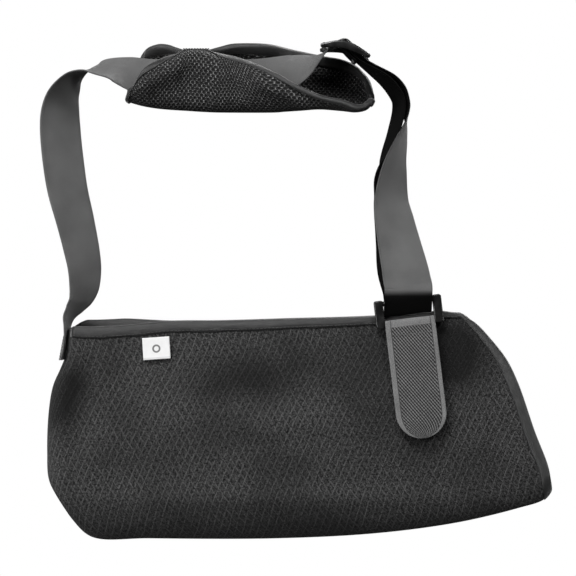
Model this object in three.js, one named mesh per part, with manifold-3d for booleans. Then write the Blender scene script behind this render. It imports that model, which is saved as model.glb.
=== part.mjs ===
// Arm sling: a forearm pouch hung from one webbing strap with a shoulder pad, a tri-glide slider and a ring.
// Millimetres. +Z up, +X towards the hand end, +Y towards the wearer's body.
// The origin is on the underside of the shoulder pad, where it rests on the shoulder.
import * as THREE from "three";
import { mergeVertices } from "three/addons/utils/BufferGeometryUtils.js";
import Module from "manifold-3d";

const wasm = await Module();
wasm.setup();

// ---- Driving dimensions ----
const GAP = 0.3;
const WEB_WIDTH = 38;
const WEB_THICK = 1.6;

const OUTER_CLOTH = 0.8;
const FOAM = 1.5;
const LINING = 0.7;
const WALL = OUTER_CLOTH + FOAM + LINING + 2 * GAP;
const BINDING_WIDTH = 8.5;
const BINDING_CLOTH = 0.7;

const POUCH_LENGTH = 402;
const POUCH_HEIGHT = 176;
const MOUTH_DEPTH = { elbow: 19, middle: 11.5, hand: 8.5 };
const BELLY_FRONT = { elbow: 21, middle: 27, hand: 14 };
const BELLY_REAR = { elbow: 20, middle: 16, hand: 12 };
// Shares of the pouch's length and height at which it is widest and where its belly starts to narrow.
const POUCH_MIDDLE = 0.4;
const BELLY_TOP = 0.42;
const POUCH_COLUMNS = 16;
const POUCH_ROWS = 12;

const PAD_SHEET = 3;
const PAD_BINDING_GAP = 0.4;

const RING_WIDTH = 54;
const RING_BAR_RADIUS = 2;
const RING_RAIL = 6;
const RING_RAIL_DEPTH = 4.6;
const RING_PITCH = 17;
const RING_TILT = 0.117;
const RING_UPPER_BAR = new THREE.Vector3(125.3, -14.8, -151.2);
const STRAP_LOOP_RADIUS = 6;
const STRAP_LOOP_DROP = 2.8;

const TAB_WIDTH = 40;
const TAB_LENGTH = 92;
const TAPE_THICK = 1.1;
const TAB_TURN_RADIUS = RING_BAR_RADIUS + GAP + TAPE_THICK / 2;
const ANCHOR_LENGTH = 34;

const SLIDER_BAR_RADIUS = 1.8;
const SLIDER_END_RADIUS = 2;
const SLIDER_RAIL_WIDTH = 3.6;
const SLIDER_LEFT_BAR = [59.2, 51.6];
const SLIDER_CENTRE_BAR = [75.2, 52];
const SLIDER_RIGHT_BAR = [92.8, 44];

const LABEL_WIDTH = 21.6;
const LABEL_HEIGHT = 17;
const LABEL_THICK = 0.5;

const THREAD = 0.6;

// ---- Shared helpers ----
const point = (x, y, z) => new THREE.Vector3(x, y, z);
const mix = THREE.MathUtils.lerp;

/** One mesh of the sling, named, with its own material. */
function piece(name, geometry, colour, roughness, metalness = 0) {
  const material = new THREE.MeshStandardMaterial({ color: colour, roughness, metalness });
  const mesh = new THREE.Mesh(geometry, material);
  mesh.name = name;
  return mesh;
}

/** A geometry from points and index triples, turned so that its faces point outwards. */
function closedGeometry(points, faces) {
  const flat = new Float32Array(points.flatMap((p) => [p.x, p.y, p.z]));
  const geometry = new THREE.BufferGeometry();
  geometry.setAttribute("position", new THREE.BufferAttribute(flat, 3));
  const six = faces.reduce((sum, [a, b, c]) => {
    const turned = points[b].clone().cross(points[c]);
    return sum + points[a].dot(turned);
  }, 0);
  const facing = six > 0 ? faces : faces.map(([a, b, c]) => [a, c, b]);
  geometry.setIndex(facing.flat());
  return geometry;
}

/**
 * Sections of equal point count joined into one body; ring joins the last section to the first.
 * splitBack(span, panel) says which diagonal splits that panel into two triangles.
 */
function loft(sections, capFaces, ring = false, splitBack = () => false) {
  const count = sections[0].length;
  const faces = [];
  const spans = ring ? sections.length : sections.length - 1;
  for (let i = 0; i < spans; i++) {
    const here = i * count;
    const next = ((i + 1) % sections.length) * count;
    for (let k = 0; k < count; k++) {
      const m = (k + 1) % count;
      if (splitBack(i, k)) {
        faces.push([here + k, here + m, next + k], [here + m, next + m, next + k]);
      } else {
        faces.push([here + k, here + m, next + m], [here + k, next + m, next + k]);
      }
    }
  }
  if (!ring) {
    const last = (sections.length - 1) * count;
    for (const [a, b, c] of capFaces) {
      faces.push([a, c, b]);
      faces.push([last + a, last + b, last + c]);
    }
  }
  return closedGeometry(sections.flat(), faces);
}

const BOX_CAP = [
  [0, 1, 2],
  [0, 2, 3],
];
const CHANNEL_CAP = [
  [0, 1, 7],
  [1, 6, 7],
  [1, 2, 6],
  [2, 5, 6],
  [2, 3, 5],
  [3, 4, 5],
];

/** A binding's panels that run from leg to edge, so that their diagonals match the sheet under them. */
const LEG_TO_EDGE = [0, 4];
const channelSplit = (edgeLeads) => (span, panel) => edgeLeads(span) === LEG_TO_EDGE.includes(panel);

/** A flat strip: at each station a centre, the direction across it, and its width and thickness. */
function strip(stations, width, thick) {
  const sections = stations.map((station, i) => {
    const before = stations[Math.max(i - 1, 0)].at;
    const after = stations[Math.min(i + 1, stations.length - 1)].at;
    const along = after.clone().sub(before).normalize();
    const across = station.across.clone();
    across.addScaledVector(along, -across.dot(along)).normalize();
    const face = along.clone().cross(across);
    const half = (station.width ?? width) / 2;
    const corner = (a, b) =>
      station.at.clone().addScaledVector(across, a * half).addScaledVector(face, (b * thick) / 2);
    return [corner(-1, -1), corner(1, -1), corner(1, 1), corner(-1, 1)];
  });
  return loft(sections, BOX_CAP);
}

/** Stations along a smooth line through hand-set rows [x, y, z, across x, across y, across z]. */
function smoothStations(rows, steps) {
  const line = new THREE.CatmullRomCurve3(rows.map((r) => point(r[0], r[1], r[2])), false, "centripetal");
  const turn = new THREE.CatmullRomCurve3(rows.map((r) => point(r[3], r[4], r[5])), false, "catmullrom", 0.3);
  const count = (rows.length - 1) * steps;
  return Array.from({ length: count + 1 }, (_, i) => ({
    at: line.getPoint(i / count),
    across: turn.getPoint(i / count),
  }));
}

function toSolid(geometry) {
  const bare = geometry.clone();
  bare.deleteAttribute("normal");
  bare.deleteAttribute("uv");
  const merged = mergeVertices(bare, 1e-4);
  return new wasm.Manifold(
    new wasm.Mesh({
      numProp: 3,
      vertProperties: new Float32Array(merged.attributes.position.array),
      triVerts: new Uint32Array(merged.index.array),
    }),
  );
}

function fromSolid(solid) {
  const mesh = solid.getMesh();
  const geometry = new THREE.BufferGeometry();
  geometry.setAttribute("position", new THREE.BufferAttribute(new Float32Array(mesh.vertProperties), 3));
  geometry.setIndex(Array.from(mesh.triVerts));
  return geometry;
}

const joined = (geometries) => fromSolid(geometries.map(toSolid).reduce((all, one) => all.add(one)));

// ---- Pouch ----
const curveOf = (rows) =>
  new THREE.CatmullRomCurve3(rows.map(([x, z]) => point(x, 0, z)), false, "centripetal");

// The pouch's side outline, in four edges that meet at its corners.
const ELBOW_EDGE = curveOf([
  [-150, -313],
  [-160.5, -295],
  [-162.2, -272],
  [-161, -240],
  [-157.5, -219],
  [-151.5, -205],
  [-147.6, -195],
  [-144.2, -172.5],
]);
const BOTTOM_EDGE = curveOf([
  [-150, -313],
  [-141, -327],
  [-126, -340],
  [-80, -341],
  [20, -341],
  [100, -337],
  [165, -328.5],
  [214, -317],
  [235, -310],
  [240.5, -303],
]);
const HAND_EDGE = curveOf([
  [240.5, -303],
  [236, -283],
  [225.5, -256],
  [212, -217],
  [203, -198],
  [191, -182],
  [178.5, -168.5],
  [168, -162],
]);
const MOUTH_EDGE = curveOf([
  [-144.2, -172.5],
  [-125, -173],
  [-95, -171.5],
  [-66, -168.8],
  [-20, -168.2],
  [34, -166.4],
  [80, -165],
  [125, -162.6],
  [155, -160],
  [168, -162],
]);

/** Place in the side view at s (elbow 0, hand 1) and t (bottom 0, mouth 1), between the four edges. */
function sidePlace(s, t) {
  const low = BOTTOM_EDGE.getPointAt(s);
  const high = MOUTH_EDGE.getPointAt(s);
  const near = ELBOW_EDGE.getPointAt(t);
  const far = HAND_EDGE.getPointAt(t);
  const at = (key) => {
    const lowCorners = mix(ELBOW_EDGE.points[0][key], HAND_EDGE.points[0][key], s);
    const highCorners = mix(ELBOW_EDGE.points.at(-1)[key], HAND_EDGE.points.at(-1)[key], s);
    return mix(low[key], high[key], t) + mix(near[key], far[key], s) - mix(lowCorners, highCorners, t);
  };
  return [at("x"), at("z")];
}

/** A value along the pouch that eases from its elbow to its middle and on to its hand end. */
function along3({ elbow, middle, hand }, s) {
  const { smoothstep } = THREE.MathUtils;
  if (s < POUCH_MIDDLE) return mix(elbow, middle, smoothstep(s, 0, POUCH_MIDDLE));
  return mix(middle, hand, smoothstep(s, POUCH_MIDDLE, 1));
}

const quarterRound = (share) => Math.sqrt(1 - (1 - Math.min(share, 1)) ** 2);

/** Half depth of the pouch on one side. */
function pouchDepth(s, t, belly) {
  const narrowing = Math.max(t - BELLY_TOP, 0) / (1 - BELLY_TOP);
  const fullness = (1 + Math.cos(Math.PI * narrowing)) / 2;
  const depth = mix(along3(MOUTH_DEPTH, s), along3(belly, s), fullness);
  const elbowRound = quarterRound(s / mix(0.09, 0.018, t));
  return depth * elbowRound * quarterRound(t / mix(0.24, 0.1, s));
}

// Columns crowd towards the elbow wall and rows towards the fold; the last of each is one binding width away.
const columnAt = (i) => {
  if (i === 0 || i === POUCH_COLUMNS) return i / POUCH_COLUMNS;
  const share = (i - 1) / (POUCH_COLUMNS - 2);
  return mix(0.004, 1 - BINDING_WIDTH / POUCH_LENGTH, mix(share, share ** 2, 0.4));
};
const rowAt = (j) => {
  if (j === POUCH_ROWS) return 1;
  return (1 - BINDING_WIDTH / POUCH_HEIGHT) * (j / (POUCH_ROWS - 1)) ** 1.5;
};

/** The pouch's outside as one open sheet: points, unit normals, faces and the index of each grid place. */
function pouchSheet() {
  const points = [];
  const index = { front: [], rear: [] };
  for (const side of ["front", "rear"]) {
    const belly = side === "front" ? BELLY_FRONT : BELLY_REAR;
    for (let i = 0; i <= POUCH_COLUMNS; i++) {
      index[side].push([]);
      for (let j = 0; j <= POUCH_ROWS; j++) {
        const shared = i === 0 || j === 0;
        if (side === "rear" && shared) {
          index.rear[i].push(index.front[i][j]);
          continue;
        }
        const [x, z] = sidePlace(columnAt(i), rowAt(j));
        const depth = pouchDepth(columnAt(i), rowAt(j), belly);
        index[side][i].push(points.length);
        points.push(point(x, side === "front" ? -depth : depth, z));
      }
    }
  }
  const faces = [];
  for (const side of ["front", "rear"]) {
    for (let i = 0; i < POUCH_COLUMNS; i++) {
      for (let j = 0; j < POUCH_ROWS; j++) {
        const [a, b] = [index[side][i][j], index[side][i + 1][j]];
        const [c, d] = [index[side][i + 1][j + 1], index[side][i][j + 1]];
        const pair = side === "front" ? [[a, b, c], [a, c, d]] : [[a, c, b], [a, d, c]];
        faces.push(...pair.filter((f) => new Set(f).size === 3));
      }
    }
  }
  const geometry = new THREE.BufferGeometry();
  const flat = points.flatMap((p) => [p.x, p.y, p.z]);
  geometry.setAttribute("position", new THREE.Float32BufferAttribute(flat, 3));
  geometry.setIndex(faces.flat());
  geometry.computeVertexNormals();
  const { normal } = geometry.attributes;
  const normals = points.map((_, k) => new THREE.Vector3().fromBufferAttribute(normal, k));
  return { points, normals, faces, index };
}

const SHEET = pouchSheet();
const sheetPoint = (k, depth) => SHEET.points[k].clone().addScaledVector(SHEET.normals[k], -depth);

/** The pouch's free edge as grid places [side, i, j], from the front of the elbow round to its rear. */
function rimPlaces(first) {
  const places = [];
  for (let i = first; i < POUCH_COLUMNS; i++) places.push(["front", i, POUCH_ROWS]);
  for (let j = POUCH_ROWS; j > 0; j--) places.push(["front", POUCH_COLUMNS, j]);
  for (let j = 0; j <= POUCH_ROWS; j++) places.push(["rear", POUCH_COLUMNS, j]);
  for (let i = POUCH_COLUMNS - 1; i >= Math.max(first, 1); i--) places.push(["rear", i, POUCH_ROWS]);
  return places;
}

/** One layer of the pouch's wall, between two depths under its outside. */
function pouchLayer(from, to) {
  const count = SHEET.points.length;
  const points = [];
  for (const depth of [from, to]) points.push(...SHEET.points.map((_, k) => sheetPoint(k, depth)));
  const faces = SHEET.faces.flatMap(([a, b, c]) => [
    [a, b, c],
    [a + count, c + count, b + count],
  ]);
  const rim = rimPlaces(0).map(([side, i, j]) => SHEET.index[side][i][j]);
  rim.forEach((a, n) => {
    const b = rim[(n + 1) % rim.length];
    faces.push([a, b, b + count], [a, b + count, a + count]);
  });
  return closedGeometry(points, faces);
}

/** Binding folded over the pouch's free edge, on the same facets as the wall under it. */
function mouthBinding() {
  const places = rimPlaces(2);
  const sections = places.map(([side, i, j]) => {
    const edge = SHEET.index[side][i][j];
    const inner = SHEET.index[side][Math.min(i, POUCH_COLUMNS - 1)][Math.min(j, POUCH_ROWS - 1)];
    const out = SHEET.points[edge].clone().sub(SHEET.points[inner]).normalize();
    const place = (k, depth, past) => sheetPoint(k, depth).addScaledVector(out, past);
    const near = -GAP;
    const far = -GAP - BINDING_CLOTH;
    return [
      place(inner, far, 0),
      place(edge, far, -far),
      place(edge, WALL - far, -far),
      place(inner, WALL - far, 0),
      place(inner, WALL - near, 0),
      place(edge, WALL - near, -near),
      place(edge, near, -near),
      place(inner, near, 0),
    ];
  });
  const edgeLeads = (span) => {
    const [side, i, j] = places[span];
    return side === "front" ? i === POUCH_COLUMNS && j > 0 : j === POUCH_ROWS;
  };
  return loft(sections, CHANNEL_CAP, false, channelSplit(edgeLeads));
}

/** Stitch row that runs over the binding, a little inside its lower edge, on one side of the pouch. */
function bindingStitch(side) {
  const rise = GAP + BINDING_CLOTH + GAP + THREAD / 2;
  const stations = [];
  for (let i = 2; i < POUCH_COLUMNS; i++) {
    const low = SHEET.index[side][i][POUCH_ROWS - 1];
    const high = SHEET.index[side][i][POUCH_ROWS];
    const at = sheetPoint(low, -rise).lerp(sheetPoint(high, -rise), 0.2);
    stations.push({ at, across: SHEET.points[high].clone().sub(SHEET.points[low]) });
  }
  return strip(stations, THREAD, THREAD);
}

// ---- Strap tail on the elbow wall ----
const TAIL_TOP = point(-146.9, 0, -170);
const TAIL_TURN = point(-147.9, 0, -180);
const TAIL_END = point(-150.6, 0, -197);

const tailStations = () => [TAIL_TOP, TAIL_TURN, TAIL_END].map((at) => ({ at, across: point(0, 1, 0) }));

/** Overlock thread that zigzags down one selvedge of the strap tail. */
function tailOverlock(side) {
  const turns = 9;
  const offset = WEB_THICK / 2 + GAP + THREAD / 2;
  const stations = Array.from({ length: 2 * turns + 1 }, (_, n) => {
    const at = TAIL_TURN.clone().lerp(TAIL_END, n / (2 * turns));
    const reach = WEB_WIDTH / 2 - (n % 2 ? 1 : 3.5);
    return { at: at.add(point(-offset, side * reach, 0)), across: point(1, 0, 0) };
  });
  return strip(stations, THREAD, THREAD);
}

/** Box stitch across the strap tail: down, across on the diagonal, and down again. */
function tailCrossStitch() {
  const offset = WEB_THICK / 2 + GAP + THREAD / 2;
  const reach = 12;
  const stations = [
    [0.1, -reach],
    [0.1, reach],
    [0.8, -reach],
    [0.8, reach],
  ].map(([share, y]) => ({
    at: TAIL_TURN.clone().lerp(TAIL_END, share).add(point(-offset, y, 0)),
    across: point(1, 0, 0),
  }));
  return strip(stations, THREAD, THREAD);
}

// ---- Shoulder strap ----
const barAxis = point(Math.sqrt(1 - RING_TILT ** 2), 0, RING_TILT);
const loopCentre = RING_UPPER_BAR.clone().add(point(0.4, 0, -STRAP_LOOP_DROP));

/** Rows round a bar or loop in the XZ or YZ plane are made by angle, the rest are set by hand. */
function strapRoute() {
  const elbowToPad = [
    [-150.4, 0, -176, 0, 1, 0],
    [-150.2, 0, -170, 0.03, 1, 0],
    [-147.8, 0, -163.5, 0.16, 0.98, 0],
    [-141.5, 0, -157.5, 0.34, 0.93, 0],
    [-135.6, 0, -150, 0.47, 0.88, 0],
    [-132.8, 0, -141, 0.55, 0.84, 0],
    [-132.4, 0, -126, 0.65, 0.76, 0],
    [-134.8, 0, -110, 0.7, 0.72, 0],
    [-140, 0, -86, 0.76, 0.65, 0],
    [-146, 0, -62, 0.82, 0.57, 0],
    [-149.5, 0, -38, 0.82, 0.57, 0],
    [-151.6, 0, -14, 0.82, 0.57, 0],
    [-151.6, 0, 0, 0.76, 0.65, 0],
    [-149.6, 0, 11, 0.66, 0.75, 0],
    [-145.5, 0, 20, 0.48, 0.87, -0.1],
    [-139.5, 0, 28, 0.24, 0.97, -0.1],
    [-130.5, 0, 33, 0, 1, 0.05],
    [-120, 0, 34, 0, 0.93, 0.36],
    [-110, 1.5, 34, 0, 0.84, 0.54],
    [-98, 2, 32, 0, 0.7, 0.71],
  ];
  const padToSlider = [
    [-78, 0, 27.5, 0, 0.52, 0.85],
    [-40, 0, 26, 0, 0.45, 0.89],
    [0, 0, 26, 0, 0.45, 0.89],
    [18, 0, 28.5, 0, 0.5, 0.87],
    [34, 0, 33.5, 0, 0.62, 0.78],
    [46, 0, 39, 0, 0.86, 0.5],
    [54, 0, 43.4, 0, 0.98, 0.2],
    [61.3, 0, 48.8, 0, 1, 0],
    [67, 0, 53.4, 0, 1, 0],
  ];
  const [barX, barZ] = SLIDER_CENTRE_BAR;
  const round = (radius, degrees) => {
    const angle = THREE.MathUtils.degToRad(degrees);
    return [barX + radius * Math.cos(angle), 0, barZ + radius * Math.sin(angle), 0, 1, 0];
  };
  const wrap = SLIDER_BAR_RADIUS + GAP + WEB_THICK / 2;
  const overWrap = wrap + WEB_THICK + GAP;
  const overBar = [115, 90, 60].map((degrees) => round(overWrap, degrees));
  const outerLayer = [
    [83.2, 0, 50.6, 0, 1, 0],
    [91, 0, 41.4, 0, 1, 0],
    [99.5, 0, 35.8, 0, 1, 0],
    [108, 0, 31, 0, 1, 0],
    [116, 0, 24.8, 0, 1, 0],
    [122.4, 0, 17.6, 0, 1, 0],
    [125.8, 0, 9, 0, 1, 0],
    [126.4, 0, 1.6, 0, 1, 0],
    [121.4, -1, -21.6, 0.24, 0.97, 0],
    [116.6, -3, -42.4, 0.5, 0.87, 0],
    [113.2, -6, -69.6, 0.76, 0.65, 0],
    [115.2, -9, -86.4, 0.85, 0.53, 0],
    [119, -13.5, -106.4, 0.92, 0.4, 0.05],
    [123.4, -17.5, -126.4, 0.98, 0.2, 0.1],
  ];
  const loop = [180, 216, 252, 288, 324, 360].map((degrees) => {
    const angle = THREE.MathUtils.degToRad(degrees);
    const at = loopCentre.clone();
    at.add(point(0, STRAP_LOOP_RADIUS * Math.cos(angle), STRAP_LOOP_RADIUS * Math.sin(angle)));
    return [at.x, at.y, at.z, barAxis.x, 0, barAxis.z];
  });
  const innerLayer = [
    [124.6, -8.6, -142, 1, 0, 0.1],
    [120, -7.4, -126.4, 0.98, 0.2, 0.05],
    [117.6, -5, -106.4, 0.92, 0.39, 0],
    [114.4, -3, -86.4, 0.8, 0.6, 0],
    [110.6, -1, -69.6, 0.68, 0.73, 0],
    [105.4, 0, -54.4, 0.35, 0.94, 0],
    [104.8, 0.5, -42.4, 0.1, 1, 0],
    [107.6, 1, -30.4, -0.12, 0.99, 0],
    [113.4, 1.5, -14.4, -0.22, 0.98, 0],
    [119.2, 1, 1.6, -0.24, 0.97, 0],
    [117.4, 0.5, 10, -0.16, 0.98, 0],
    [112, 0, 18, -0.06, 1, 0],
    [104.8, 0, 25.4, 0, 1, 0],
    [97, 0, 32.4, 0, 1, 0],
    [89.2, 0, 38.6, 0, 1, 0],
    [82.6, 0, 44.2, 0, 1, 0],
  ];
  const roundBar = [-25, 30, 90, 150, 210, 262].map((degrees) => round(wrap, degrees));
  const sewnEnd = [
    [78.4, 0, 45.4, 0, 1, 0],
    [84.6, 0, 39.6, 0, 1, 0],
  ];
  const toRing = [...elbowToPad, ...padToSlider, ...overBar, ...outerLayer, ...loop];
  return [...toRing, ...innerLayer, ...roundBar, ...sewnEnd];
}

/** Bar tack across the webbing's sewn end, under the slider. */
function strapEndTack() {
  const at = point(82.2, 0, 40.2);
  const turns = 10;
  const stations = Array.from({ length: 2 * turns + 1 }, (_, n) => ({
    at: at.clone().add(point(n % 2 ? 1 : -1, mix(-15, 15, n / (2 * turns)), n % 2 ? -1 : 1)),
    across: point(0.7, 0, 0.7),
  }));
  return strip(stations, THREAD, THREAD);
}

// ---- Slider ----
/** Tri-glide: two arched side rails joined by three cross bars that the webbing threads. */
function triGlide() {
  const [leftX, leftZ] = SLIDER_LEFT_BAR;
  const [midX, midZ] = SLIDER_CENTRE_BAR;
  const [rightX, rightZ] = SLIDER_RIGHT_BAR;
  const spine = new THREE.CatmullRomCurve3([
    point(leftX - 3, leftZ - 0.3, 0),
    point(leftX, leftZ, 0),
    point(midX, midZ, 0),
    point(rightX, rightZ, 0),
    point(rightX + 2.6, rightZ - 1.6, 0),
  ]);
  const steps = 10;
  const half = 2.6;
  const upper = [];
  const lower = [];
  for (let i = 0; i <= steps; i++) {
    const at = spine.getPointAt(i / steps);
    const along = spine.getTangentAt(i / steps);
    const taper = half * quarterRound(0.25 + Math.min(i, steps - i) / 2);
    upper.push(new THREE.Vector2(at.x - along.y * taper, at.y + along.x * taper));
    lower.unshift(new THREE.Vector2(at.x + along.y * taper, at.y - along.x * taper));
  }
  const span = WEB_WIDTH + 2 * (GAP + 1.2) + 2 * SLIDER_RAIL_WIDTH;
  const rail = (y) => {
    const shape = new THREE.Shape([...upper, ...lower]);
    const geometry = new THREE.ExtrudeGeometry(shape, { depth: SLIDER_RAIL_WIDTH, bevelEnabled: false });
    return geometry.rotateX(Math.PI / 2).translate(0, y, 0);
  };
  const bar = ([x, z], radius) =>
    new THREE.CylinderGeometry(radius, radius, span - SLIDER_RAIL_WIDTH, 10).translate(x, 0, z);
  return joined([
    rail(-span / 2 + SLIDER_RAIL_WIDTH),
    rail(span / 2),
    bar(SLIDER_LEFT_BAR, SLIDER_END_RADIUS),
    bar(SLIDER_CENTRE_BAR, SLIDER_BAR_RADIUS),
    bar(SLIDER_RIGHT_BAR, SLIDER_END_RADIUS),
  ]);
}

// ---- Ring, tab and anchor ----
const ringDown = point(RING_TILT, 0, -barAxis.x);
const ringLowerBar = RING_UPPER_BAR.clone().addScaledVector(ringDown, RING_PITCH);

/** Places a geometry made in the ring's own plane: x along the bars, y up the ring, z towards the front. */
function inRingPlane(geometry, origin) {
  const basis = new THREE.Matrix4().makeBasis(barAxis, ringDown.clone().negate(), point(0, -1, 0));
  return geometry.applyMatrix4(basis.setPosition(origin));
}

function roundedBox(width, height, radius) {
  const shape = new THREE.Shape();
  const [x, y] = [width / 2, height / 2];
  shape.moveTo(-x + radius, -y);
  shape.lineTo(x - radius, -y);
  shape.absarc(x - radius, -y + radius, radius, -Math.PI / 2, 0);
  shape.absarc(x - radius, y - radius, radius, 0, Math.PI / 2);
  shape.absarc(-x + radius, y - radius, radius, Math.PI / 2, Math.PI);
  shape.absarc(-x + radius, -y + radius, radius, Math.PI, 1.5 * Math.PI);
  return shape;
}

/** Rectangular ring: flat side rails and two round bars. */
function strapRing() {
  const height = RING_PITCH + 2 * RING_BAR_RADIUS + 1.6;
  const rail = (x) => {
    const shape = roundedBox(RING_RAIL, height, 1.8);
    const options = { depth: RING_RAIL_DEPTH, bevelEnabled: false, curveSegments: 3 };
    return new THREE.ExtrudeGeometry(shape, options).translate(x, -RING_PITCH / 2, -RING_RAIL_DEPTH / 2);
  };
  const bar = (y) =>
    new THREE.CylinderGeometry(RING_BAR_RADIUS, RING_BAR_RADIUS, RING_WIDTH - RING_RAIL, 12)
      .rotateZ(Math.PI / 2)
      .translate(0, y, 0);
  const railX = (RING_WIDTH - RING_RAIL) / 2;
  return inRingPlane(joined([rail(-railX), rail(railX), bar(0), bar(-RING_PITCH)]), RING_UPPER_BAR);
}

/** Half width of the tab at a distance below the ring's lower bar: straight, with a round end. */
function tabHalfWidth(down) {
  const half = TAB_WIDTH / 2;
  const over = Math.max(down - (TAB_LENGTH - half), 0);
  return Math.sqrt(Math.max(half ** 2 - over ** 2, 0));
}

// Drops below the lower bar where the tab has a section, closer together round its end.
const TAB_DROPS = [4, 14, 32, 52, 72, 77, 82, 86.5, 89.5, 91.4];

/** How far in front of the lower bar's axis the tab's middle lies: it follows the pouch's front. */
const tabFront = (down) => TAB_TURN_RADIUS + 0.1 * down;

const tabPlace = (down, front) =>
  ringLowerBar.clone().addScaledVector(ringDown, down).add(point(0, -front, 0));

function tabTape() {
  const turn = [118, 142, 165].map((degrees) => {
    const angle = THREE.MathUtils.degToRad(degrees);
    return {
      at: tabPlace(-TAB_TURN_RADIUS * Math.sin(angle), -TAB_TURN_RADIUS * Math.cos(angle)),
      across: barAxis,
      width: TAB_WIDTH,
    };
  });
  const leg = TAB_DROPS.map((down) => ({
    at: tabPlace(down, tabFront(down)),
    across: barAxis,
    width: 2 * tabHalfWidth(down),
  }));
  return strip([...turn, ...leg], TAB_WIDTH, TAPE_THICK);
}

/** Hook field on the back of the tab's lower half. */
function tabHookField() {
  const inset = 2.5;
  const behind = TAPE_THICK / 2 + GAP + 0.4;
  const stations = TAB_DROPS.filter((down) => down > 30 && down < 90).map((down) => ({
    at: tabPlace(down, tabFront(down) - behind),
    across: barAxis,
    width: 2 * (tabHalfWidth(down) - inset),
  }));
  return strip(stations, TAB_WIDTH, 0.8);
}

function tabLoopStitch() {
  const down = 9;
  const front = tabFront(down) + TAPE_THICK / 2 + GAP + THREAD / 2;
  const reach = TAB_WIDTH / 2 - 3;
  const stations = [-reach, 0, reach].map((x) => ({
    at: tabPlace(down, front).addScaledVector(barAxis, x),
    across: ringDown,
  }));
  return strip(stations, THREAD, THREAD);
}

/** Rear leg of the tape, flat between the ring's lower bar and the pouch. */
const anchorPlace = (down) => tabPlace(down, -TAB_TURN_RADIUS + 0.09 * Math.max(down, 0));

function tabAnchor() {
  const stations = [1, 12, 23, ANCHOR_LENGTH].map((down) => ({ at: anchorPlace(down), across: barAxis }));
  return strip(stations, TAB_WIDTH - 2, TAPE_THICK);
}

function tabAnchorStitch() {
  const reach = TAB_WIDTH / 2 - 5;
  const stations = [-reach, 0, reach].map((x) => ({
    at: anchorPlace(ANCHOR_LENGTH - 3)
      .addScaledVector(barAxis, x)
      .add(point(0, -TAPE_THICK / 2 - GAP - THREAD / 2, 0)),
    across: ringDown,
  }));
  return strip(stations, THREAD, THREAD);
}

// ---- Label ----
const LABEL_TOP = point(-74.6, -17.6, -180.4);

function sizeLabel() {
  const shape = roundedBox(LABEL_WIDTH, LABEL_HEIGHT, 0.6);
  const options = { depth: LABEL_THICK, bevelEnabled: false, curveSegments: 1 };
  const geometry = new THREE.ExtrudeGeometry(shape, options);
  geometry.translate(0, -LABEL_HEIGHT / 2, 0);
  geometry.rotateX(Math.PI / 2 - 0.13);
  geometry.rotateY(-0.07);
  return geometry.translate(LABEL_TOP.x, LABEL_TOP.y, LABEL_TOP.z);
}

// ---- Shoulder pad ----
// Stations from the left end to the right: [x, z] of the bottom line and the half width of its flat part,
// then the front flap's edge [x, y, z] and the [y, z] that its curve bends towards, and the rear flap's.
const PAD_STATIONS = [
  [[-98, 10, 5], [-99, -15, 16], [-12, 12], [-91, 18, 34], [19, 20]],
  [[-93.6, 8.6, 6], [-94, -19, 21], [-17, 13.5], [-88, 19, 39], [21, 25]],
  [[-85, 6.4, 8], [-84, -22, 32], [-27, 20], [-83, 19, 50.5], [26, 32]],
  [[-74, 4.6, 8], [-73, -18, 38], [-30, 28], [-74, 16, 53.4], [27, 37]],
  [[-67, 3.9, 8], [-66, -14, 41], [-30, 36], [-67, 12.5, 52.6], [29, 43]],
  [[-60, 3.4, 8], [-58, -9, 43.5], [-29, 44], [-60, 7.5, 50], [30, 50]],
  [[-50, 2.8, 8], [-50, -2, 46.2], [-25, 55], [-50, 2, 47], [26, 56]],
  [[-36, 1.9, 8], [-36, -2, 46.4], [-25, 55], [-36, 2, 47], [25, 57]],
  [[-24, 1.5, 8], [-22, -7.5, 43.6], [-29, 41], [-25, 6, 50], [29, 50]],
  [[18, 1.5, 8], [0, -16, 37], [-30, 29], [-8, 13, 53.5], [28, 42]],
  [[28, 2.2, 8], [20, -22.5, 28], [-29.5, 19], [16, 17.5, 53.6], [27, 33]],
  [[40, 3.2, 8], [39, -26.5, 18.5], [-26.5, 9], [38, 21, 51], [26, 28]],
  [[56, 5, 8], [58, -28, 12], [-25.5, 6], [60, 24, 45], [27, 24]],
  [[74, 4.2, 7], [76, -25.5, 7.5], [-21, 4], [78, 24, 39.5], [25, 19]],
  [[85, 3.6, 7], [84, -20, 4], [-15, 3], [88, 21, 33.5], [22, 16]],
  [[92.6, 5.6, 5], [91, -12.5, 4.4], [-9.5, 4.6], [95, 15.5, 25.5], [15, 12]],
  [[97, 8.6, 4], [96, -8, 7.6], [-6.5, 8], [98, 11, 22], [11, 13]],
];
const FLAP_SHARES = [1, 0.92, 0.76, 0.58, 0.4, 0.2, 0];

/** Points across the pad at one station, front edge to rear edge, at the middle of the sheet's thickness. */
function padSection([[x, z, flat], front, frontBend, rear, rearBend]) {
  const flap = (edge, [bendY, bendZ], sign) => {
    const start = point(x, sign * flat, z);
    const outward = point(x, mix(sign * flat, bendY, 0.6), z);
    const bend = point(mix(x, edge[0], 0.7), bendY, bendZ);
    return new THREE.CubicBezierCurve3(start, outward, bend, point(...edge));
  };
  const frontFlap = flap(front, frontBend, -1);
  const rearFlap = flap(rear, rearBend, 1);
  return [
    ...FLAP_SHARES.map((share) => frontFlap.getPoint(share)),
    ...[...FLAP_SHARES].reverse().map((share) => rearFlap.getPoint(share)),
  ];
}

const PAD_GRID = PAD_STATIONS.map(padSection);
const PAD_ACROSS = PAD_GRID[0].length;

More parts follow.
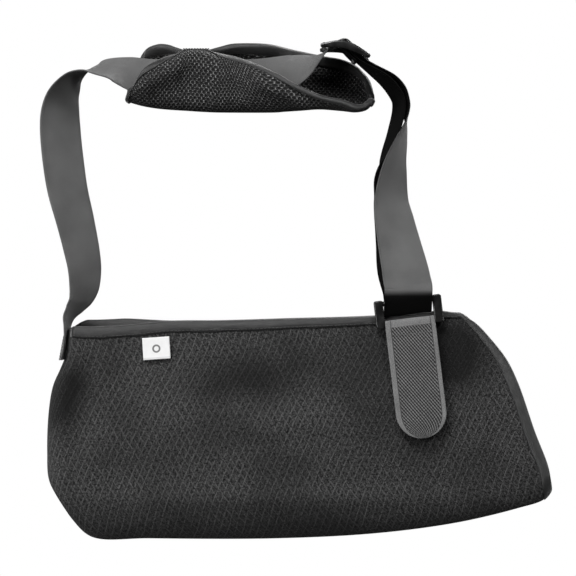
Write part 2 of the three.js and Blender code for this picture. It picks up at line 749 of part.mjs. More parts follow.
/** Unit normal of the pad's sheet at a grid place, pointing to its inside. */
function padNormal(i, k) {
  const seatRows = k === FLAP_SHARES.length - 1 || k === FLAP_SHARES.length;
  const [, bottomZ] = PAD_STATIONS[i][0];
  if (seatRows && bottomZ === PAD_SHEET / 2) return point(0, 0, 1);
  const clampI = (n) => PAD_GRID[THREE.MathUtils.clamp(n, 0, PAD_GRID.length - 1)][k];
  const clampK = (n) => PAD_GRID[i][THREE.MathUtils.clamp(n, 0, PAD_ACROSS - 1)];
  const along = clampI(i + 1).clone().sub(clampI(i - 1));
  const across = clampK(k + 1).clone().sub(clampK(k - 1));
  return along.cross(across).normalize();
}

const padPoint = (i, k, height) => PAD_GRID[i][k].clone().addScaledVector(padNormal(i, k), height);

/** Grid places round the pad's edge. */
function padRim() {
  const last = PAD_GRID.length - 1;
  const places = [];
  for (let i = 0; i < last; i++) places.push([i, 0]);
  for (let k = 0; k < PAD_ACROSS - 1; k++) places.push([last, k]);
  for (let i = last; i > 0; i--) places.push([i, PAD_ACROSS - 1]);
  for (let k = PAD_ACROSS - 1; k > 0; k--) places.push([0, k]);
  return places;
}

function padMesh() {
  const id = (i, k, top) => (i * PAD_ACROSS + k) * 2 + (top ? 1 : 0);
  const points = [];
  PAD_GRID.forEach((section, i) =>
    section.forEach((_, k) => points.push(padPoint(i, k, -PAD_SHEET / 2), padPoint(i, k, PAD_SHEET / 2))),
  );
  const faces = [];
  for (let i = 0; i < PAD_GRID.length - 1; i++) {
    for (let k = 0; k < PAD_ACROSS - 1; k++) {
      for (const top of [false, true]) {
        const corners = [id(i, k, top), id(i + 1, k, top), id(i + 1, k + 1, top), id(i, k + 1, top)];
        const turned = (i === 0 && k === PAD_ACROSS - 2) || (i === PAD_GRID.length - 2 && k === 0);
        const [a, b, c, d] = turned ? [...corners.slice(1), corners[0]] : corners;
        faces.push(...(top ? [[a, b, c], [a, c, d]] : [[a, c, b], [a, d, c]]));
      }
    }
  }
  const rim = padRim();
  rim.forEach(([i, k], n) => {
    const [m, l] = rim[(n + 1) % rim.length];
    faces.push([id(i, k, false), id(m, l, false), id(m, l, true)]);
    faces.push([id(i, k, false), id(m, l, true), id(i, k, true)]);
  });
  return closedGeometry(points, faces);
}

function padBinding() {
  const near = PAD_SHEET / 2 + PAD_BINDING_GAP;
  const far = near + BINDING_CLOTH;
  const rim = padRim();
  const sections = rim.map(([i, k]) => {
    const m = THREE.MathUtils.clamp(i, 1, PAD_GRID.length - 2);
    const l = THREE.MathUtils.clamp(k, 1, PAD_ACROSS - 2);
    const out = PAD_GRID[i][k].clone().sub(PAD_GRID[m][l]).normalize();
    const edge = (past, height) => padPoint(i, k, height).addScaledVector(out, past);
    const leg = (height) => padPoint(m, l, height);
    return [
      leg(far),
      edge(GAP + BINDING_CLOTH, far),
      edge(GAP + BINDING_CLOTH, -far),
      leg(-far),
      leg(-near),
      edge(GAP, -near),
      edge(GAP, near),
      leg(near),
    ];
  });
  const long = 2 * (PAD_GRID.length - 1) + PAD_ACROSS - 1;
  const last = PAD_GRID.length - 1;
  const edgeLeads = (span) => span < last || (span >= last + PAD_ACROSS - 1 && span < long);
  return loft(sections, [], true, channelSplit(edgeLeads));
}

/** Tack that ties the pad's two long edges over the strap. */
function padCentreTack() {
  const stations = [-53, -48, -43, -38, -33].map((x, n) => ({
    at: point(x, n % 2 ? 1.2 : -1.2, 52.2),
    across: point(0, 0, 1),
  }));
  return strip(stations, 1, 1);
}

// ---- Assembly ----
const CHARCOAL = 0x2b2c2e;
const SATIN = 0x1a1a1b;
const WEBBING = 0x4a4b4c;
const PLASTIC = 0x101011;
const TAPE = 0x606162;
const THREAD_COLOUR = 0x202021;

const foamTop = OUTER_CLOTH + GAP;
const liningTop = foamTop + FOAM + GAP;

const sling = new THREE.Group();
sling.add(
  piece("shoulder_strap", strip(smoothStations(strapRoute(), 2), WEB_WIDTH, WEB_THICK), WEBBING, 0.6),
  piece("strap_end_tack", strapEndTack(), THREAD_COLOUR, 0.8),
  piece("tri_glide_slider", triGlide(), PLASTIC, 0.35),
  piece("pad_mesh", padMesh(), SATIN, 0.9),
  piece("pad_binding", padBinding(), SATIN, 0.55),
  piece("pad_centre_tack", padCentreTack(), THREAD_COLOUR, 0.8),
  piece("pouch_outer_fabric", pouchLayer(0, OUTER_CLOTH), CHARCOAL, 0.85),
  piece("pouch_foam", pouchLayer(foamTop, foamTop + FOAM), 0x55565a, 0.95),
  piece("pouch_lining", pouchLayer(liningTop, liningTop + LINING), 0x1c1c1e, 0.9),
  piece("mouth_binding", mouthBinding(), SATIN, 0.5),
  piece("binding_stitch_front", bindingStitch("front"), THREAD_COLOUR, 0.8),
  piece("binding_stitch_rear", bindingStitch("rear"), THREAD_COLOUR, 0.8),
  piece("strap_tail", strip(tailStations(), WEB_WIDTH, WEB_THICK), WEBBING, 0.6),
  piece("tail_stitch_front", tailOverlock(-1), THREAD_COLOUR, 0.8),
  piece("tail_stitch_rear", tailOverlock(1), THREAD_COLOUR, 0.8),
  piece("tail_cross_stitch", tailCrossStitch(), THREAD_COLOUR, 0.8),
  piece("strap_ring", strapRing(), PLASTIC, 0.3),
  piece("tab_anchor", tabAnchor(), TAPE, 0.75),
  piece("tab_anchor_stitch", tabAnchorStitch(), THREAD_COLOUR, 0.8),
  piece("tab_tape", tabTape(), TAPE, 0.75),
  piece("tab_hook_field", tabHookField(), PLASTIC, 0.7),
  piece("tab_loop_stitch", tabLoopStitch(), THREAD_COLOUR, 0.8),
  piece("size_label", sizeLabel(), 0xf0f0ee, 0.8),
);

export default sling;
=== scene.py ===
"""Arm sling: the visual model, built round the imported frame.

Lengths in the functions are millimetres, in the frame's axes, and become metres when a mesh is made.
"""
import math

import bmesh
import bpy
import numpy as np
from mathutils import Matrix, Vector


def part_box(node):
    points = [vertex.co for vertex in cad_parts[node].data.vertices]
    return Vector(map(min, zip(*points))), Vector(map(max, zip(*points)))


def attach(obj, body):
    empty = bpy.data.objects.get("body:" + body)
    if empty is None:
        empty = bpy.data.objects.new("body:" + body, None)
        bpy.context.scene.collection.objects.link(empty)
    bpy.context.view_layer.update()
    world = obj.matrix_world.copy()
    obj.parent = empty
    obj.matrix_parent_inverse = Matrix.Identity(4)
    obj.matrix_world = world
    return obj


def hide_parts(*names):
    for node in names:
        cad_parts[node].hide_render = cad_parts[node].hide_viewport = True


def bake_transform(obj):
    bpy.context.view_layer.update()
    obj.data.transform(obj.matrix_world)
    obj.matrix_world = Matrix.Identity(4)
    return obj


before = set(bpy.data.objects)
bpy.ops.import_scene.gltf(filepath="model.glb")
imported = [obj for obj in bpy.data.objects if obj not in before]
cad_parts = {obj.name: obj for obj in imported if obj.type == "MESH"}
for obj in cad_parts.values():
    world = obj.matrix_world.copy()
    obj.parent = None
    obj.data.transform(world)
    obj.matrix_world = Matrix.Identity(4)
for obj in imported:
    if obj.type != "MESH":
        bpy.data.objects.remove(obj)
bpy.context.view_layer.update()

MM = 0.001

# ---- Driving dimensions, the same as the frame's ----
GAP = 0.3
WEB_WIDTH = 38
WEB_THICK = 1.6
WALL = 3.6
BINDING_WIDTH = 8.5
POUCH_LENGTH = 402
POUCH_HEIGHT = 176
MOUTH_DEPTH = (19, 11.5, 8.5)
BELLY_FRONT = (21, 27, 14)
BELLY_REAR = (20, 16, 12)
OUTER_CLOTH = 0.8
FOAM = (1.1, 2.6)
LINING = (2.9, 3.6)
PAD_SHEET = 3
RING_TILT = 0.117
RING_PITCH = 17
RING_UPPER_BAR = np.array([125.3, -14.8, -151.2])
RING_BAR_RADIUS = 2
RING_WIDTH = 54
TAB_WIDTH = 40
TAB_LENGTH = 92
TAPE_THICK = 1.1
TAB_TURN_RADIUS = RING_BAR_RADIUS + GAP + TAPE_THICK / 2
ANCHOR_LENGTH = 34
SLIDER_BARS = ((59.2, 51.6), (75.2, 52), (92.8, 44))
SLIDER_RADII = (2, 1.8, 2)
SLIDER_RAIL = 3.6
LABEL_WIDTH = 21.6
LABEL_LENGTH = 17

BAR_AXIS = np.array([math.sqrt(1 - RING_TILT**2), 0, RING_TILT])
RING_DOWN = np.array([RING_TILT, 0, -BAR_AXIS[0]])
RING_LOWER_BAR = RING_UPPER_BAR + RING_DOWN * RING_PITCH

UP = np.array([0.0, 0, 1])
FRONT = np.array([0.0, -1, 0])


# ---- Curves and grids ----
def lerp(a, b, share):
    """The value at a share of the way from a to b."""
    return a + (b - a) * share


def smooth(value, low, high):
    """0 below low, 1 above high, smooth between."""
    share = np.clip((value - low) / (high - low), 0, 1)
    return share * share * (3 - 2 * share)


def unit(vectors):
    """The vectors at length 1."""
    return vectors / np.maximum(np.linalg.norm(vectors, axis=-1, keepdims=True), 1e-9)


def through(rows, steps):
    """Points on a smooth curve through the rows, with steps points from each row to the next."""
    p = np.array(rows, float)
    p = np.vstack([2 * p[0] - p[1], p, 2 * p[-1] - p[-2]])
    share = (np.arange(steps) / steps)[:, None]
    made = []
    for p0, p1, p2, p3 in zip(p, p[1:], p[2:], p[3:]):
        d0, d1, d2 = [max(np.linalg.norm(b - a), 1e-6) ** 0.5 for a, b in ((p0, p1), (p1, p2), (p2, p3))]
        start = ((p1 - p0) / d0 - (p2 - p0) / (d0 + d1) + (p2 - p1) / d1) * d1
        end = ((p2 - p1) / d1 - (p3 - p1) / (d1 + d2) + (p3 - p2) / d2) * d1
        bend = 2 * (p1 - p2) + start + end
        made.append(bend * share**3 + (3 * (p2 - p1) - 2 * start - end) * share**2 + start * share + p1)
    return np.vstack([*made, p[-2:-1]])


def lengths(points):
    """Distance along a line of points, from its first."""
    return np.concatenate([[0], np.cumsum(np.linalg.norm(np.diff(points, axis=0), axis=1))])


def between(rows, places, where):
    """Rows read off at where, when the rows stand at places."""
    return np.stack([np.interp(where, places, column) for column in rows.T], axis=-1)


def at_share(points, share):
    """Points at shares of a line's length."""
    run = lengths(points)
    return between(points, run / run[-1], share)


def in_scene(name, data):
    """A new object in the scene."""
    made = bpy.data.objects.new(name, data)
    bpy.context.scene.collection.objects.link(made)
    return made


def mesh_object(name, points, faces, corner_uv):
    """A piece from points in millimetres, with each face's corners' places on the flat cloth."""
    mesh = bpy.data.meshes.new(name)
    mesh.from_pydata((points * MM).tolist(), [], faces)
    layer = mesh.uv_layers.new(name="cloth")
    layer.data.foreach_set("uv", np.array(corner_uv, np.float32).ravel())
    work = bmesh.new()
    work.from_mesh(mesh)
    bmesh.ops.remove_doubles(work, verts=work.verts, dist=1e-6)
    bmesh.ops.dissolve_degenerate(work, edges=work.edges, dist=1e-7)
    bmesh.ops.recalc_face_normals(work, faces=work.faces)
    work.to_mesh(mesh)
    work.free()
    mesh.shade_smooth()
    return in_scene(name, mesh)


def grid_faces(rows, columns, ids, uv):
    """Quads of a grid, with each corner's place on the cloth."""
    faces, corners = [], []
    for i in range(rows):
        for k in range(columns):
            quad = ((i, k), (i + 1, k), (i + 1, k + 1), (i, k + 1))
            faces.append([int(ids(*place)) for place in quad])
            corners += [uv[place] for place in quad]
    return faces, corners


def swept(name, sections, ring=False):
    """A closed body from sections of equal point count; ring joins the last section to the first."""
    count, around = sections.shape[:2]
    spans = count if ring else count - 1
    middle = sections.mean(axis=1)
    along = lengths(np.vstack([middle, middle[:1]]))
    section = sections[count // 2]
    across = lengths(np.vstack([section, section[:1]]))
    uv = np.stack(np.meshgrid(along[: spans + 1], across, indexing="ij"), axis=-1)
    faces, corners = grid_faces(spans, around, lambda i, k: (i % count) * around + k % around, uv)
    if not ring:
        for i in (0, count - 1):
            faces.append([i * around + k for k in range(around)])
            corners += [uv[i, k] for k in range(around)]
    return mesh_object(name, sections.reshape(-1, 3), faces, corners)


def shell(name, outer, inner, uv, all_round=False):
    """A sheet with thickness between two grids. Its first row is left open unless it closes all round."""
    rows, columns = outer.shape[:2]
    size = rows * columns
    faces, corners = [], []
    for layer in (0, 1):
        more, places = grid_faces(rows - 1, columns - 1, lambda i, k: layer * size + i * columns + k, uv)
        faces += more
        corners += places
    rim = [(i, 0) for i in range(rows)] + [(rows - 1, k) for k in range(1, columns)]
    rim += [(i, columns - 1) for i in range(rows - 2, -1, -1)]
    if all_round:
        rim += [(0, k) for k in range(columns - 2, -1, -1)]
    for (i, k), (m, n) in zip(rim, rim[1:]):
        here, there = i * columns + k, m * columns + n
        faces.append([here, there, size + there, size + here])
        corners += [uv[i, k], uv[m, n], uv[m, n], uv[i, k]]
    return mesh_object(name, np.vstack([outer.reshape(-1, 3), inner.reshape(-1, 3)]), faces, corners)


def grid_normals(points):
    """Unit normals of a grid of points."""
    return unit(np.cross(np.gradient(points, axis=0), np.gradient(points, axis=1)))


def place(piece, material, body, slot, *nodes):
    """Gives a piece its material and body, and hides the CAD nodes that it stands for. Its slot is not used.
    """
    piece.data.materials.append(material)
    if body:
        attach(piece, body)
    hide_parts(*nodes)
    return piece


# ---- Materials ----
class Value:
    """What a node gives. It adds, subtracts and multiplies like a number."""

    def __init__(self, finish, socket):
        self.finish, self.socket = finish, socket

    def __add__(self, other):
        return self.finish.math("ADD", self, other)

    def __radd__(self, other):
        return self.finish.math("ADD", other, self)

    def __sub__(self, other):
        return self.finish.math("SUBTRACT", self, other)

    def __rsub__(self, other):
        return self.finish.math("SUBTRACT", other, self)

    def __mul__(self, other):
        return self.finish.math("MULTIPLY", self, other)


class Finish:
    """A node material: a principled shader, and short calls for the nodes that feed it."""

    def __init__(self, name, **sockets):
        self.material = bpy.data.materials.new(name)
        self.material.use_nodes = True
        self.tree = self.material.node_tree
        self.shader = self.tree.nodes["Principled BSDF"]
        for socket, value in sockets.items():
            self.shader.inputs[socket.replace("_", " ")].default_value = value
        self.cloth = Value(self, self.add("ShaderNodeUVMap", uv_map="cloth").outputs[0])
        split = self.add("ShaderNodeSeparateXYZ")
        self.link(self.cloth, split.inputs[0])
        self.u, self.v = [Value(self, split.outputs[k]) for k in (0, 1)]

    def add(self, kind, **settings):
        node = self.tree.nodes.new(kind)
        for key, value in settings.items():
            setattr(node, key, value)
        return node

    def link(self, source, socket):
        if isinstance(source, Value):
            self.tree.links.new(source.socket, socket)
        else:
            socket.default_value = source

    def math(self, operation, *values):
        node = self.add("ShaderNodeMath", operation=operation)
        for value, socket in zip(values, node.inputs):
            self.link(value, socket)
        return Value(self, node.outputs[0])

    def fold(self, value, most):
        """Up from 0 to most and down again, over and over."""
        return self.math("PINGPONG", value, most)

    def wave(self, value, pitch):
        """0 to 1 and back once each pitch."""
        return self.fold(value * (2 / pitch), 1)

    def step(self, value, low, high):
        """0 below low, 1 above high, smooth between."""
        node = self.add("ShaderNodeMapRange", interpolation_type="SMOOTHSTEP")
        for name, given in (("Value", value), ("From Min", low), ("From Max", high)):
            self.link(given, node.inputs[name])
        return Value(self, node.outputs[0])

    def squares(self, across, up):
        return self.math("POWER", across, 2) + self.math("POWER", up, 2)

    def distance(self, across, up):
        return self.math("SQRT", self.squares(across, up))

    def spot(self, x, y, wide, tall, most):
        """A soft round spot on the cloth, most at its middle."""
        far = self.squares((self.u - x) * (1 / wide), (self.v - y) * (1 / tall))
        return self.math("POWER", math.e, far * -1) * most

    def noise(self, scale, detail=3, stretch=(1, 1, 1), vector=None):
        """Noise of scale cells in a millimetre of the cloth, or in a unit of another vector."""
        shape = self.add("ShaderNodeMapping")
        shape.inputs["Scale"].default_value = stretch
        self.link(vector or self.cloth, shape.inputs[0])
        node = self.add("ShaderNodeTexNoise")
        self.tree.links.new(shape.outputs[0], node.inputs["Vector"])
        node.inputs["Scale"].default_value = scale
        node.inputs["Detail"].default_value = detail
        return Value(self, node.outputs["Fac"])

    def colour(self, share, dark, light):
        """Between two colours by share; a number is a grey."""
        node = self.add("ShaderNodeMix", data_type="RGBA")
        self.link(share, node.inputs["Factor"])
        for name, value in (("A", dark), ("B", light)):
            target = next(s for s in node.inputs if s.name == name and s.type == "RGBA")
            self.link(value if isinstance(value, Value) else (value, value, value, 1), target)
        return Value(self, next(s for s in node.outputs if s.type == "RGBA"))

    def done(self, base, roughness, height, depth):
        """Connects base colour, roughness and a bump of depth millimetres."""
        bump = self.add("ShaderNodeBump")
        bump.inputs["Strength"].default_value = 1
        bump.inputs["Distance"].default_value = depth * MM
        self.link(height, bump.inputs["Height"])
        self.link(base, self.shader.inputs["Base Color"])
        self.link(roughness, self.shader.inputs["Roughness"])
        self.tree.links.new(bump.outputs[0], self.shader.inputs["Normal"])
        return self.material


# Painted shade on the pouch's cloth, in soft darker spots over its hollows and a band along its bottom: x, z,
# half width, half height, and how much.
PAINTED_CLOTH_SHADE = (
    (-138, -228, 22, 30, 1.1),
    (18, -214, 44, 22, 0.8),
    (176, -196, 26, 26, 1.1),
    (150, -240, 16, 40, 0.4),
    (118, -230, 26, 60, 0.35),
    (10, -330, 200, 16, 0.25),
)


def pouch_cloth():
    """Charcoal jacquard: a grainy ground, and thin light lines that cross as tall diamonds, with painted
    shade in soft spots.
    """
    f = Finish("pouch_cloth", Sheen_Weight=0.08, Sheen_Roughness=0.5, Specular_IOR_Level=0.2)
    wide, tall = 6.1, 11.6
    sway = f.noise(0.06, 2) * 3.2
    across = f.math("DIVIDE", f.u + sway, wide)
    down = f.math("DIVIDE", f.v + sway, tall)
    rising, falling = f.fold(across - down, 0.5), f.fold(across + down, 0.5)
    strong = 1 - f.step(rising, 0.03, 0.14)
    weak = 1 - f.step(falling, 0.03, 0.12)
    halfway = f.step(rising, 0.4, 0.49)
    patchy = f.step(f.noise(0.035, 2), 0.4, 0.6)
    line = f.math("MAXIMUM", strong, weak * (0.5 + patchy * 0.45))
    line = f.math("MAXIMUM", line, halfway * 0.25)
    broken = line * f.step(f.noise(0.7, 2), 0.36, 0.58)
    grain = f.noise(0.95, 2)
    speck = f.noise(0.5, 3, (1, 0.8, 1))
    yarn = f.wave(f.u, 1.3) * f.wave(f.v, 1.1)
    cloud = f.noise(0.013, 2)
    ground = grain * 0.7 + speck * 0.6 + yarn * 0.12
    base = f.colour(f.step(ground, 0.54, 0.82), 0.001, 0.056)
    base = f.colour(broken * 0.75, base, 0.125)
    # Painted shade: the soft spots in the table above darken the cloth, and a random cloud of darker tone is
    # added to them.
    hollows = sum(f.spot(*hollow) for hollow in PAINTED_CLOTH_SHADE)
    shade = f.math("MINIMUM", hollows + f.step(cloud, 0.44, 0.62) * 0.3, 0.9)
    base = f.colour(shade, base, 0.002)
    height = broken * 0.5 + grain * 0.9 + speck * 0.8 + yarn * 0.3
    return f.done(base, 0.7 + grain * 0.25, height, 0.9)


def satin_binding():
    """Black satin tape with fine cross ribs and soft rubbed streaks."""
    f = Finish("satin_binding", Sheen_Weight=0.35, Sheen_Roughness=0.35, Specular_IOR_Level=0.5)
    rib = f.wave(f.u, 0.55)
    streak = f.noise(0.25, 3, (0.2, 3, 1))
    pucker = f.noise(0.12, 2)
    base = f.colour(f.step(streak * 0.6 + pucker * 0.5, 0.3, 0.85), 0.007, 0.023)
    base = f.colour(rib * 0.25, base, 0.045)
    height = rib * 0.25 + streak * 0.35 + pucker * 1.6
    return f.done(base, 0.36 + streak * 0.22, height, 0.35)


def webbing(name, painted_shade_from=None):
    """Grey satin twill with plain selvedges. Its reverse face and its length from a given point on can be
    painted near black, as painted shade.
    """
    f = Finish(name, Sheen_Weight=0.2, Sheen_Roughness=0.4, Specular_IOR_Level=0.4)
    body = f.step(f.fold(f.v, (WEB_WIDTH + WEB_THICK) / 2), 1.6, 2.6)
    twill = f.wave(f.u + f.v, 0.75) * body
    rib = f.wave(f.u, 1.1) * (1 - body)
    rows = f.wave(f.v, 0.62)
    grain = f.noise(1.6, 4, (0.5, 2, 1))
    cloud = f.noise(0.035, 2)
    mixed = twill * 0.3 + rows * 0.15 + grain * 0.4 + cloud * 0.55
    base = f.colour(f.step(mixed, 0.35, 0.95), 0.045, 0.118)
    base = f.colour(rib * 0.35, base, 0.14)
    # Painted shade: the reverse face and the length past the given point are painted near black, with little
    # sheen and specular.
    if painted_shade_from:
        reverse = f.step(f.v, WEB_WIDTH + 0.6, WEB_WIDTH + 2)
        black = f.math("MAXIMUM", f.step(f.u, painted_shade_from, painted_shade_from + 6), reverse)
        base = f.colour(black * 0.98, base, f.colour(twill, 0.0006, 0.003))
        shine = 1 - black
        f.link(0.005 + shine * 0.195, f.shader.inputs["Sheen Weight"])
        f.link(0.05 + shine * 0.35, f.shader.inputs["Specular IOR Level"])
    height = twill * 0.5 + rows * 0.3 + rib * 0.8 + grain * 0.4
    return f.done(base, 0.46 + grain * 0.2, height, 0.22)


def tape_cloth():
    """Grey hook tape's face: slanting twill lines between plain selvedges."""
    f = Finish("tape_cloth", Sheen_Weight=0.25, Sheen_Roughness=0.5, Specular_IOR_Level=0.3)
    slant_along, slant_across = 0.559, 0.829
    edge = f.fold(f.v, (TAB_WIDTH + TAPE_THICK) / 2)
    hem = 1 - f.math("COMPARE", edge, 4.5, 0.35)
    field = f.step(edge, 4.2, 4.9) * f.step(f.u, 45.3, 46.3)
    twill = f.wave(f.u * slant_along - f.v * slant_across, 1.9)
    beads = f.wave(f.u * slant_across + f.v * slant_along, 2.2)
    lined = field * (1 - f.step(twill + beads * 0.35, 0.5, 0.95))
    fine = f.wave(f.u, 0.8) * f.wave(f.v, 0.8)
    grain = f.noise(1.1, 3)
    mixed = grain * 0.7 + fine * 0.25 + f.noise(0.06, 2) * 0.3
    base = f.colour(f.step(mixed, 0.3, 0.9), 0.08, 0.25)
    base = f.colour(lined * 0.97, base, 0.004)
    base = f.colour(hem, 0.04, base)
    height = (1 - lined) * 1.1 + fine * 0.4 + grain * 0.4 + hem
    return f.done(base, 0.65 + grain * 0.2, height, 0.35)


def air_mesh():
    """Black spacer mesh: oval holes in staggered rows, painted darker as shade, and knots between them, some
    painted light as glints.
    """
    f = Finish("air_mesh", Sheen_Weight=0.06, Sheen_Roughness=0.4, Specular_IOR_Level=0.25)
    wide, tall, narrowing = 3.5, 4.7, 1.1

    def nearest(shift):
        across = f.fold(f.u * (1 / wide) + shift, 0.5) * wide
        up = f.fold(f.v * (1 / tall) + shift, 0.5) * (tall * narrowing)
        return f.distance(across, up)

    hole = f.math("MINIMUM", nearest(0), nearest(0.5))
    bar = f.step(hole, 0.65, 1.05)
    knot_glint = f.step(hole, 1.3, 1.6)
    knit = f.wave(f.u + f.v, 0.9) * f.wave(f.u - f.v, 0.9)
    grain = f.noise(0.9, 3)
    base = f.colour(grain * 0.7 + knit * 0.4, 0.001, 0.02)
    # Painted highlight: some knots are painted light grey, as glints.
    base = f.colour(knot_glint * f.step(grain, 0.4, 0.68), base, 0.3)
    # Painted shade: the holes are painted near black, as shade inside them.
    base = f.colour(bar, 0.0006, base)
    height = bar * 1.4 + knot_glint * 0.5 + knit * 0.2 + grain * 0.4
    return f.done(base, 0.45 + grain * 0.25, height, 1.0)


def thread(name, dark, light):
    """Twisted sewing thread."""
    f = Finish(name, Sheen_Weight=0.3, Specular_IOR_Level=0.4)
    twist = f.wave(f.u + f.v, 0.5)
    return f.done(f.colour(twist, dark, light), 0.6, twist, 0.08)


def moulded_plastic():
    """Black moulded plastic: a fine satin texture, with rubbed and slightly dusty patches."""
    f = Finish("moulded_plastic", Specular_IOR_Level=0.55, Coat_Weight=0.25, Coat_Roughness=0.12)
    where = Value(f, f.add("ShaderNodeTexCoord").outputs["Object"])
    texture = f.noise(900, 2, vector=where)
    rub = f.noise(120, 4, vector=where)
    base = f.colour(f.step(rub, 0.35, 0.75), 0.004, 0.016)
    return f.done(base, 0.14 + rub * 0.2, texture + rub * 0.5, 0.05)


def hook_plastic():
    """Field of tiny moulded hooks in rows."""
    f = Finish("hook_plastic", Specular_IOR_Level=0.5)
    hooks = f.wave(f.u, 1.3) * f.wave(f.v, 0.9)
    base = f.colour(f.step(hooks, 0.2, 0.7), 0.004, 0.035)
    return f.done(base, 0.4, hooks, 0.7)


def foam():
    """Dark grey open-cell foam."""
    f = Finish("foam", Specular_IOR_Level=0.2)
    cells = f.noise(2.2, 4)
    return f.done(f.colour(f.step(cells, 0.35, 0.65), 0.05, 0.12), 0.95, cells, 0.4)


def lining_cloth():
    """Black brushed tricot lining with fine wales."""
    f = Finish("lining_cloth", Sheen_Weight=0.4, Sheen_Roughness=0.5, Specular_IOR_Level=0.2)
    wale = f.wave(f.u, 1.1)
    nap = f.noise(1.1, 4)
    mixed = wale * 0.2 + nap * 0.6 + f.noise(0.03, 2) * 0.4
    base = f.colour(f.step(mixed, 0.3, 1), 0.008, 0.026)
    return f.done(base, 0.9, wale * 0.6 + nap, 0.3)


def label_cloth():
    """White woven label with a small plain grey ring in its middle, and a grey line of painted shade near its
    lower end.
    """
    f = Finish("label_cloth", Sheen_Weight=0.2, Specular_IOR_Level=0.3)
    ring_radius = 2.6
    weave = f.wave(f.u, 0.5) * f.wave(f.v, 0.4)
    base = f.colour(weave * 0.3 + f.noise(0.3, 3) * 0.5, 0.7, 0.88)
    from_middle = f.distance(f.u - LABEL_WIDTH / 2, f.v - LABEL_LENGTH / 2)
    mark = 1 - f.step(f.math("ABSOLUTE", from_middle - ring_radius), 0.5, 0.85)
    base = f.colour(mark, base, 0.16)
    # Painted shade: a grey line across the label near its lower end, as the shade of a fold.
    fold = f.math("COMPARE", f.v, 15.6, 0.25)
    base = f.colour(fold * 0.35, base, 0.3)
    return f.done(base, 0.75, weave + mark * 0.6, 0.12)


CLOTH = pouch_cloth()
SATIN = satin_binding()
WEBBING = webbing("webbing")
TAPE = tape_cloth()
MESH = air_mesh()
BLACK_THREAD = thread("black_thread", 0.02, 0.07)
GREY_THREAD = thread("grey_thread", 0.07, 0.2)
PLASTIC = moulded_plastic()
HOOKS = hook_plastic()
FOAM_FINISH = foam()
LINING_FINISH = lining_cloth()
LABEL_FINISH = label_cloth()

# ---- Pouch ----
# The outline, as x and z: the ends run from the bottom up, the bottom and mouth from elbow to hand.
ELBOW_EDGE = through([[-150, -313], [-160.5, -295], [-162.2, -272], [-161, -240], [-157.5, -219],
                      [-151.5, -205], [-147.6, -195], [-144.2, -172.5]], 24)
BOTTOM_EDGE = through([[-150, -313], [-141, -327], [-126, -340], [-80, -341], [20, -341], [100, -337],
                       [165, -328.5], [214, -317], [235, -310], [240.5, -303]], 24)
HAND_EDGE = through([[240.5, -303], [236, -283], [225.5, -256], [212, -217], [203, -198], [191, -182],
                     [178.5, -168.5], [168, -162]], 24)
MOUTH_EDGE = through([[-144.2, -172.5], [-125, -173], [-95, -171.5], [-66, -168.8], [-20, -168.2],
                      [34, -166.4], [80, -165], [125, -162.6], [155, -160], [168, -162]], 24)

# Soft hollows and swells of the front panel: x, z, half width, half height, and rise towards the front.
FRONT_SWELLS = (
    (16, -226, 42, 17, -3.2),
    (16, -250, 90, 22, 1.6),
    (-118, -238, 26, 30, -3.4),
    (-120, -268, 40, 18, 2.6),
    (176, -204, 20, 18, -2.4),
    (60, -308, 150, 9, 2.4),
    (-60, -215, 30, 26, 1.6),
    (90, -232, 26, 34, 1.2),
    (200, -262, 22, 26, -1.6),
    (-131, -206, 7, 26, -2.2),
    (-117, -204, 7, 22, 1.6),
    (-138, -262, 9, 30, -2),
    (24, -262, 60, 8, -1.6),
    (150, -222, 12, 34, 1.4),
)

# How far the rear panel's mouth stands above the front one's near the elbow end.
REAR_RISE = 5


def quarter_round(share):
    """Height of a quarter circle, 0 at share 0 and 1 from share 1 on."""
    return np.sqrt(1 - (1 - np.clip(share, 0, 1)) ** 2)


def along_pouch(three, s):
    """Between three values, at the elbow end, the middle and the hand end."""
    elbow, middle, hand = three
    return np.where(s < 0.4, lerp(elbow, middle, smooth(s, 0, 0.4)), lerp(middle, hand, smooth(s, 0.4, 1)))


def pouch_point(s, t, front):
    """Points on the pouch's outside at s (elbow 0, hand 1) and t (bottom 0, mouth 1)."""
    s, t = np.broadcast_arrays(np.asarray(s, float), np.asarray(t, float))
    low, high = at_share(BOTTOM_EDGE, s), at_share(MOUTH_EDGE, s)
    near, far = at_share(ELBOW_EDGE, t), at_share(HAND_EDGE, t)
    s2, t2 = s[..., None], t[..., None]
    corners = lerp(lerp(ELBOW_EDGE[0], HAND_EDGE[0], s2), lerp(ELBOW_EDGE[-1], HAND_EDGE[-1], s2), t2)
    side = lerp(low, high, t2) + lerp(near, far, s2) - corners
    x, z = side[..., 0], side[..., 1]
    belly = along_pouch(BELLY_FRONT if front else BELLY_REAR, s)
    fullness = np.where(t < 0.42, 1, (1 + np.cos(np.pi * (t - 0.42) / 0.58)) / 2)
    depth = lerp(along_pouch(MOUTH_DEPTH, s), belly, fullness)
    depth = depth * quarter_round(s / lerp(0.09, 0.018, t)) * quarter_round(t / lerp(0.24, 0.1, s))
    free = smooth(t, 0.02, 0.2) * smooth(1 - t, 0.05, 0.2) * smooth(s, 0.02, 0.1) * smooth(1 - s, 0.03, 0.1)
    swell = np.zeros_like(depth)
    for cx, cz, wide, tall, rise in FRONT_SWELLS:
        swell += rise * np.exp(-(((x - cx) / wide) ** 2) - ((z - cz) / tall) ** 2) * (1 if front else 0.6)
    ripple = 0.5 * np.sin(x / 13 + z / 29) * np.sin(z / 17 - x / 41)
    depth = depth + free * (swell + ripple)
    if not front:
        z = z + REAR_RISE * smooth(s, 0, 0.045) * smooth(-x, 60, 105) * smooth(t, 0.72, 1)
    return np.stack([x, -depth if front else depth, z], axis=-1)


